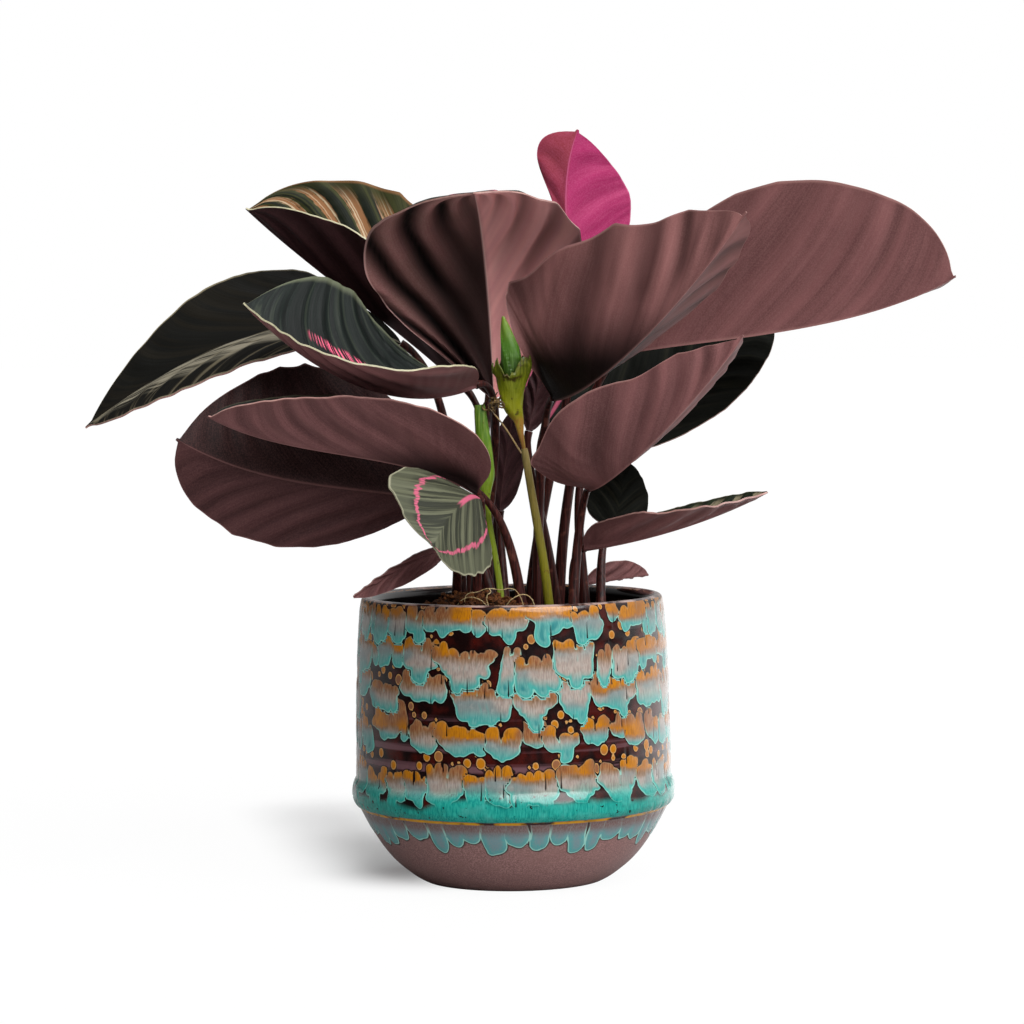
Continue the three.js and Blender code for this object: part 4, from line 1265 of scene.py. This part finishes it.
def make_stage():
    bpy.ops.mesh.primitive_plane_add(size=1, location=(0, 0, -0.0002))
    floor = bpy.context.object
    floor.name = floor.data.name = "studio_floor"
    bpy.ops.object.mode_set(mode="EDIT")
    bpy.ops.mesh.select_all(action="SELECT")
    bpy.ops.transform.resize(value=(60, 60, 1))
    bpy.ops.object.mode_set(mode="OBJECT")
    f = Finish("studio paper", roughness=0.9, specular=0.1)
    path = f.node("ShaderNodeLightPath")
    right, back = f.parts_of(f.here)[:2]
    # Painted reflection: in reflections the paper is dark in front and bright behind and to the right. To
    # bounced light it is mid grey.
    behind = f.span(back, -0.2, 0.3)
    sides = f.mix(f.span(right, 0.2, -0.4), f.mix(behind, "1c1c1c", "ffffff"),
                  f.mix(behind, "1c1c1c", "8a8a8a"))
    unseen = f.mix(path.outputs["Is Diffuse Ray"], sides, "a6a6a6")
    # Seen straight on, the paper glows away from the pot with painted light that hides its shadows there, and
    # shows its real shading near the pot.
    depth = f.math("MAXIMUM", f.math("MINIMUM", back, 0.25), 0.035)
    aside = f.plus(right, f.scaled(depth, 0.19, 0.05))
    beyond = f.times(f.math("SUBTRACT", back, depth), 0.7)
    away = f.math("SQRT", f.plus(f.times(aside, aside), f.times(beyond, beyond)))
    painted_glow = f.span(away, 0.0, 0.065, 0.06, 0.97)
    seen = path.outputs["Is Camera Ray"]
    paper = f.mix(painted_glow, f.mix(f.noise(f.here, 3.0, 2.0), "f3f3f3", "fafafa"), "000000")
    f.set(Base_Color=f.mix(seen, unseen, paper), Emission_Color=linear("fdfdfd"),
          Emission_Strength=f.times(seen, painted_glow))
    floor.data.materials.append(f.material)


def add_light(name, place, target, size, power, colour=(1, 1, 1)):
    bpy.ops.object.light_add(type="AREA", location=place)
    lamp = bpy.context.object
    lamp.name = lamp.data.name = name
    lamp.rotation_euler = (Vector(target) - Vector(place)).to_track_quat("-Z", "Y").to_euler()
    lamp.data.shape = "RECTANGLE"
    lamp.data.size, lamp.data.size_y = size
    lamp.data.energy, lamp.data.color = power, colour


def add_sun(name, way, spread, power):
    bpy.ops.object.light_add(type="SUN", location=Vector(way))
    lamp = bpy.context.object
    lamp.name = lamp.data.name = name
    lamp.rotation_euler = (-Vector(way)).to_track_quat("-Z", "Y").to_euler()
    lamp.data.energy, lamp.data.angle = power, math.radians(spread)


CAMERA_PLACE, CAMERA_TILT, CAMERA_ROLL = (0.0006, -1.640, 0.259), 2.93, -0.0105
LENS_PIXELS, PICTURE_PIXELS, SENSOR_WIDTH = 3446, 1024, 36


def make_camera():
    bpy.ops.object.camera_add()
    camera = bpy.context.object
    camera.name = camera.data.name = "photo_camera"
    right = Vector((0.99995, 0, CAMERA_ROLL))
    forward = Vector((0, math.cos(math.radians(CAMERA_TILT)), -math.sin(math.radians(CAMERA_TILT))))
    right = (right - forward * right.dot(forward)).normalized()
    up = right.cross(forward)
    turn = Matrix((right, up, -forward)).transposed()
    camera.matrix_world = Matrix.Translation(CAMERA_PLACE) @ turn.to_4x4()
    camera.data.lens, camera.data.sensor_width = LENS_PIXELS / PICTURE_PIXELS * SENSOR_WIDTH, SENSOR_WIDTH
    bpy.context.scene.camera = camera


def make_world():
    """A white studio: a bright ceiling, more light from the right than from the left, a white backdrop."""
    world = bpy.data.worlds.new("studio")
    bpy.context.scene.world = world
    world.use_nodes = True
    w = Nodes(world.node_tree)
    way = w.parts_of(w.node("ShaderNodeTexCoord").outputs["Generated"])
    sides = w.times(w.span(way[0], -0.6, 0.8, 0.07, 0.75, smooth=False),
                    w.span(way[1], -0.9, 0.3, 0.3, 1.0, smooth=False))
    both = w.plus(sides, w.span(way[2], 0.15, 0.8, 0.0, 0.35, smooth=False))
    background = w.tree.nodes["Background"]
    seen = w.node("ShaderNodeLightPath").outputs["Is Camera Ray"]
    w.join(w.math("MAXIMUM", both, seen), background.inputs[1])
    background.inputs[0].default_value = (1, 1, 1, 1)


make_world()
make_stage()
add_sun("key_light", (0.48, -0.82, 0.78), 55, 4.0)
add_light("high_softbox", (0.53, -0.44, 1.1), (0, 0, 0.05), (0.9, 0.05), 3.2)
make_camera()
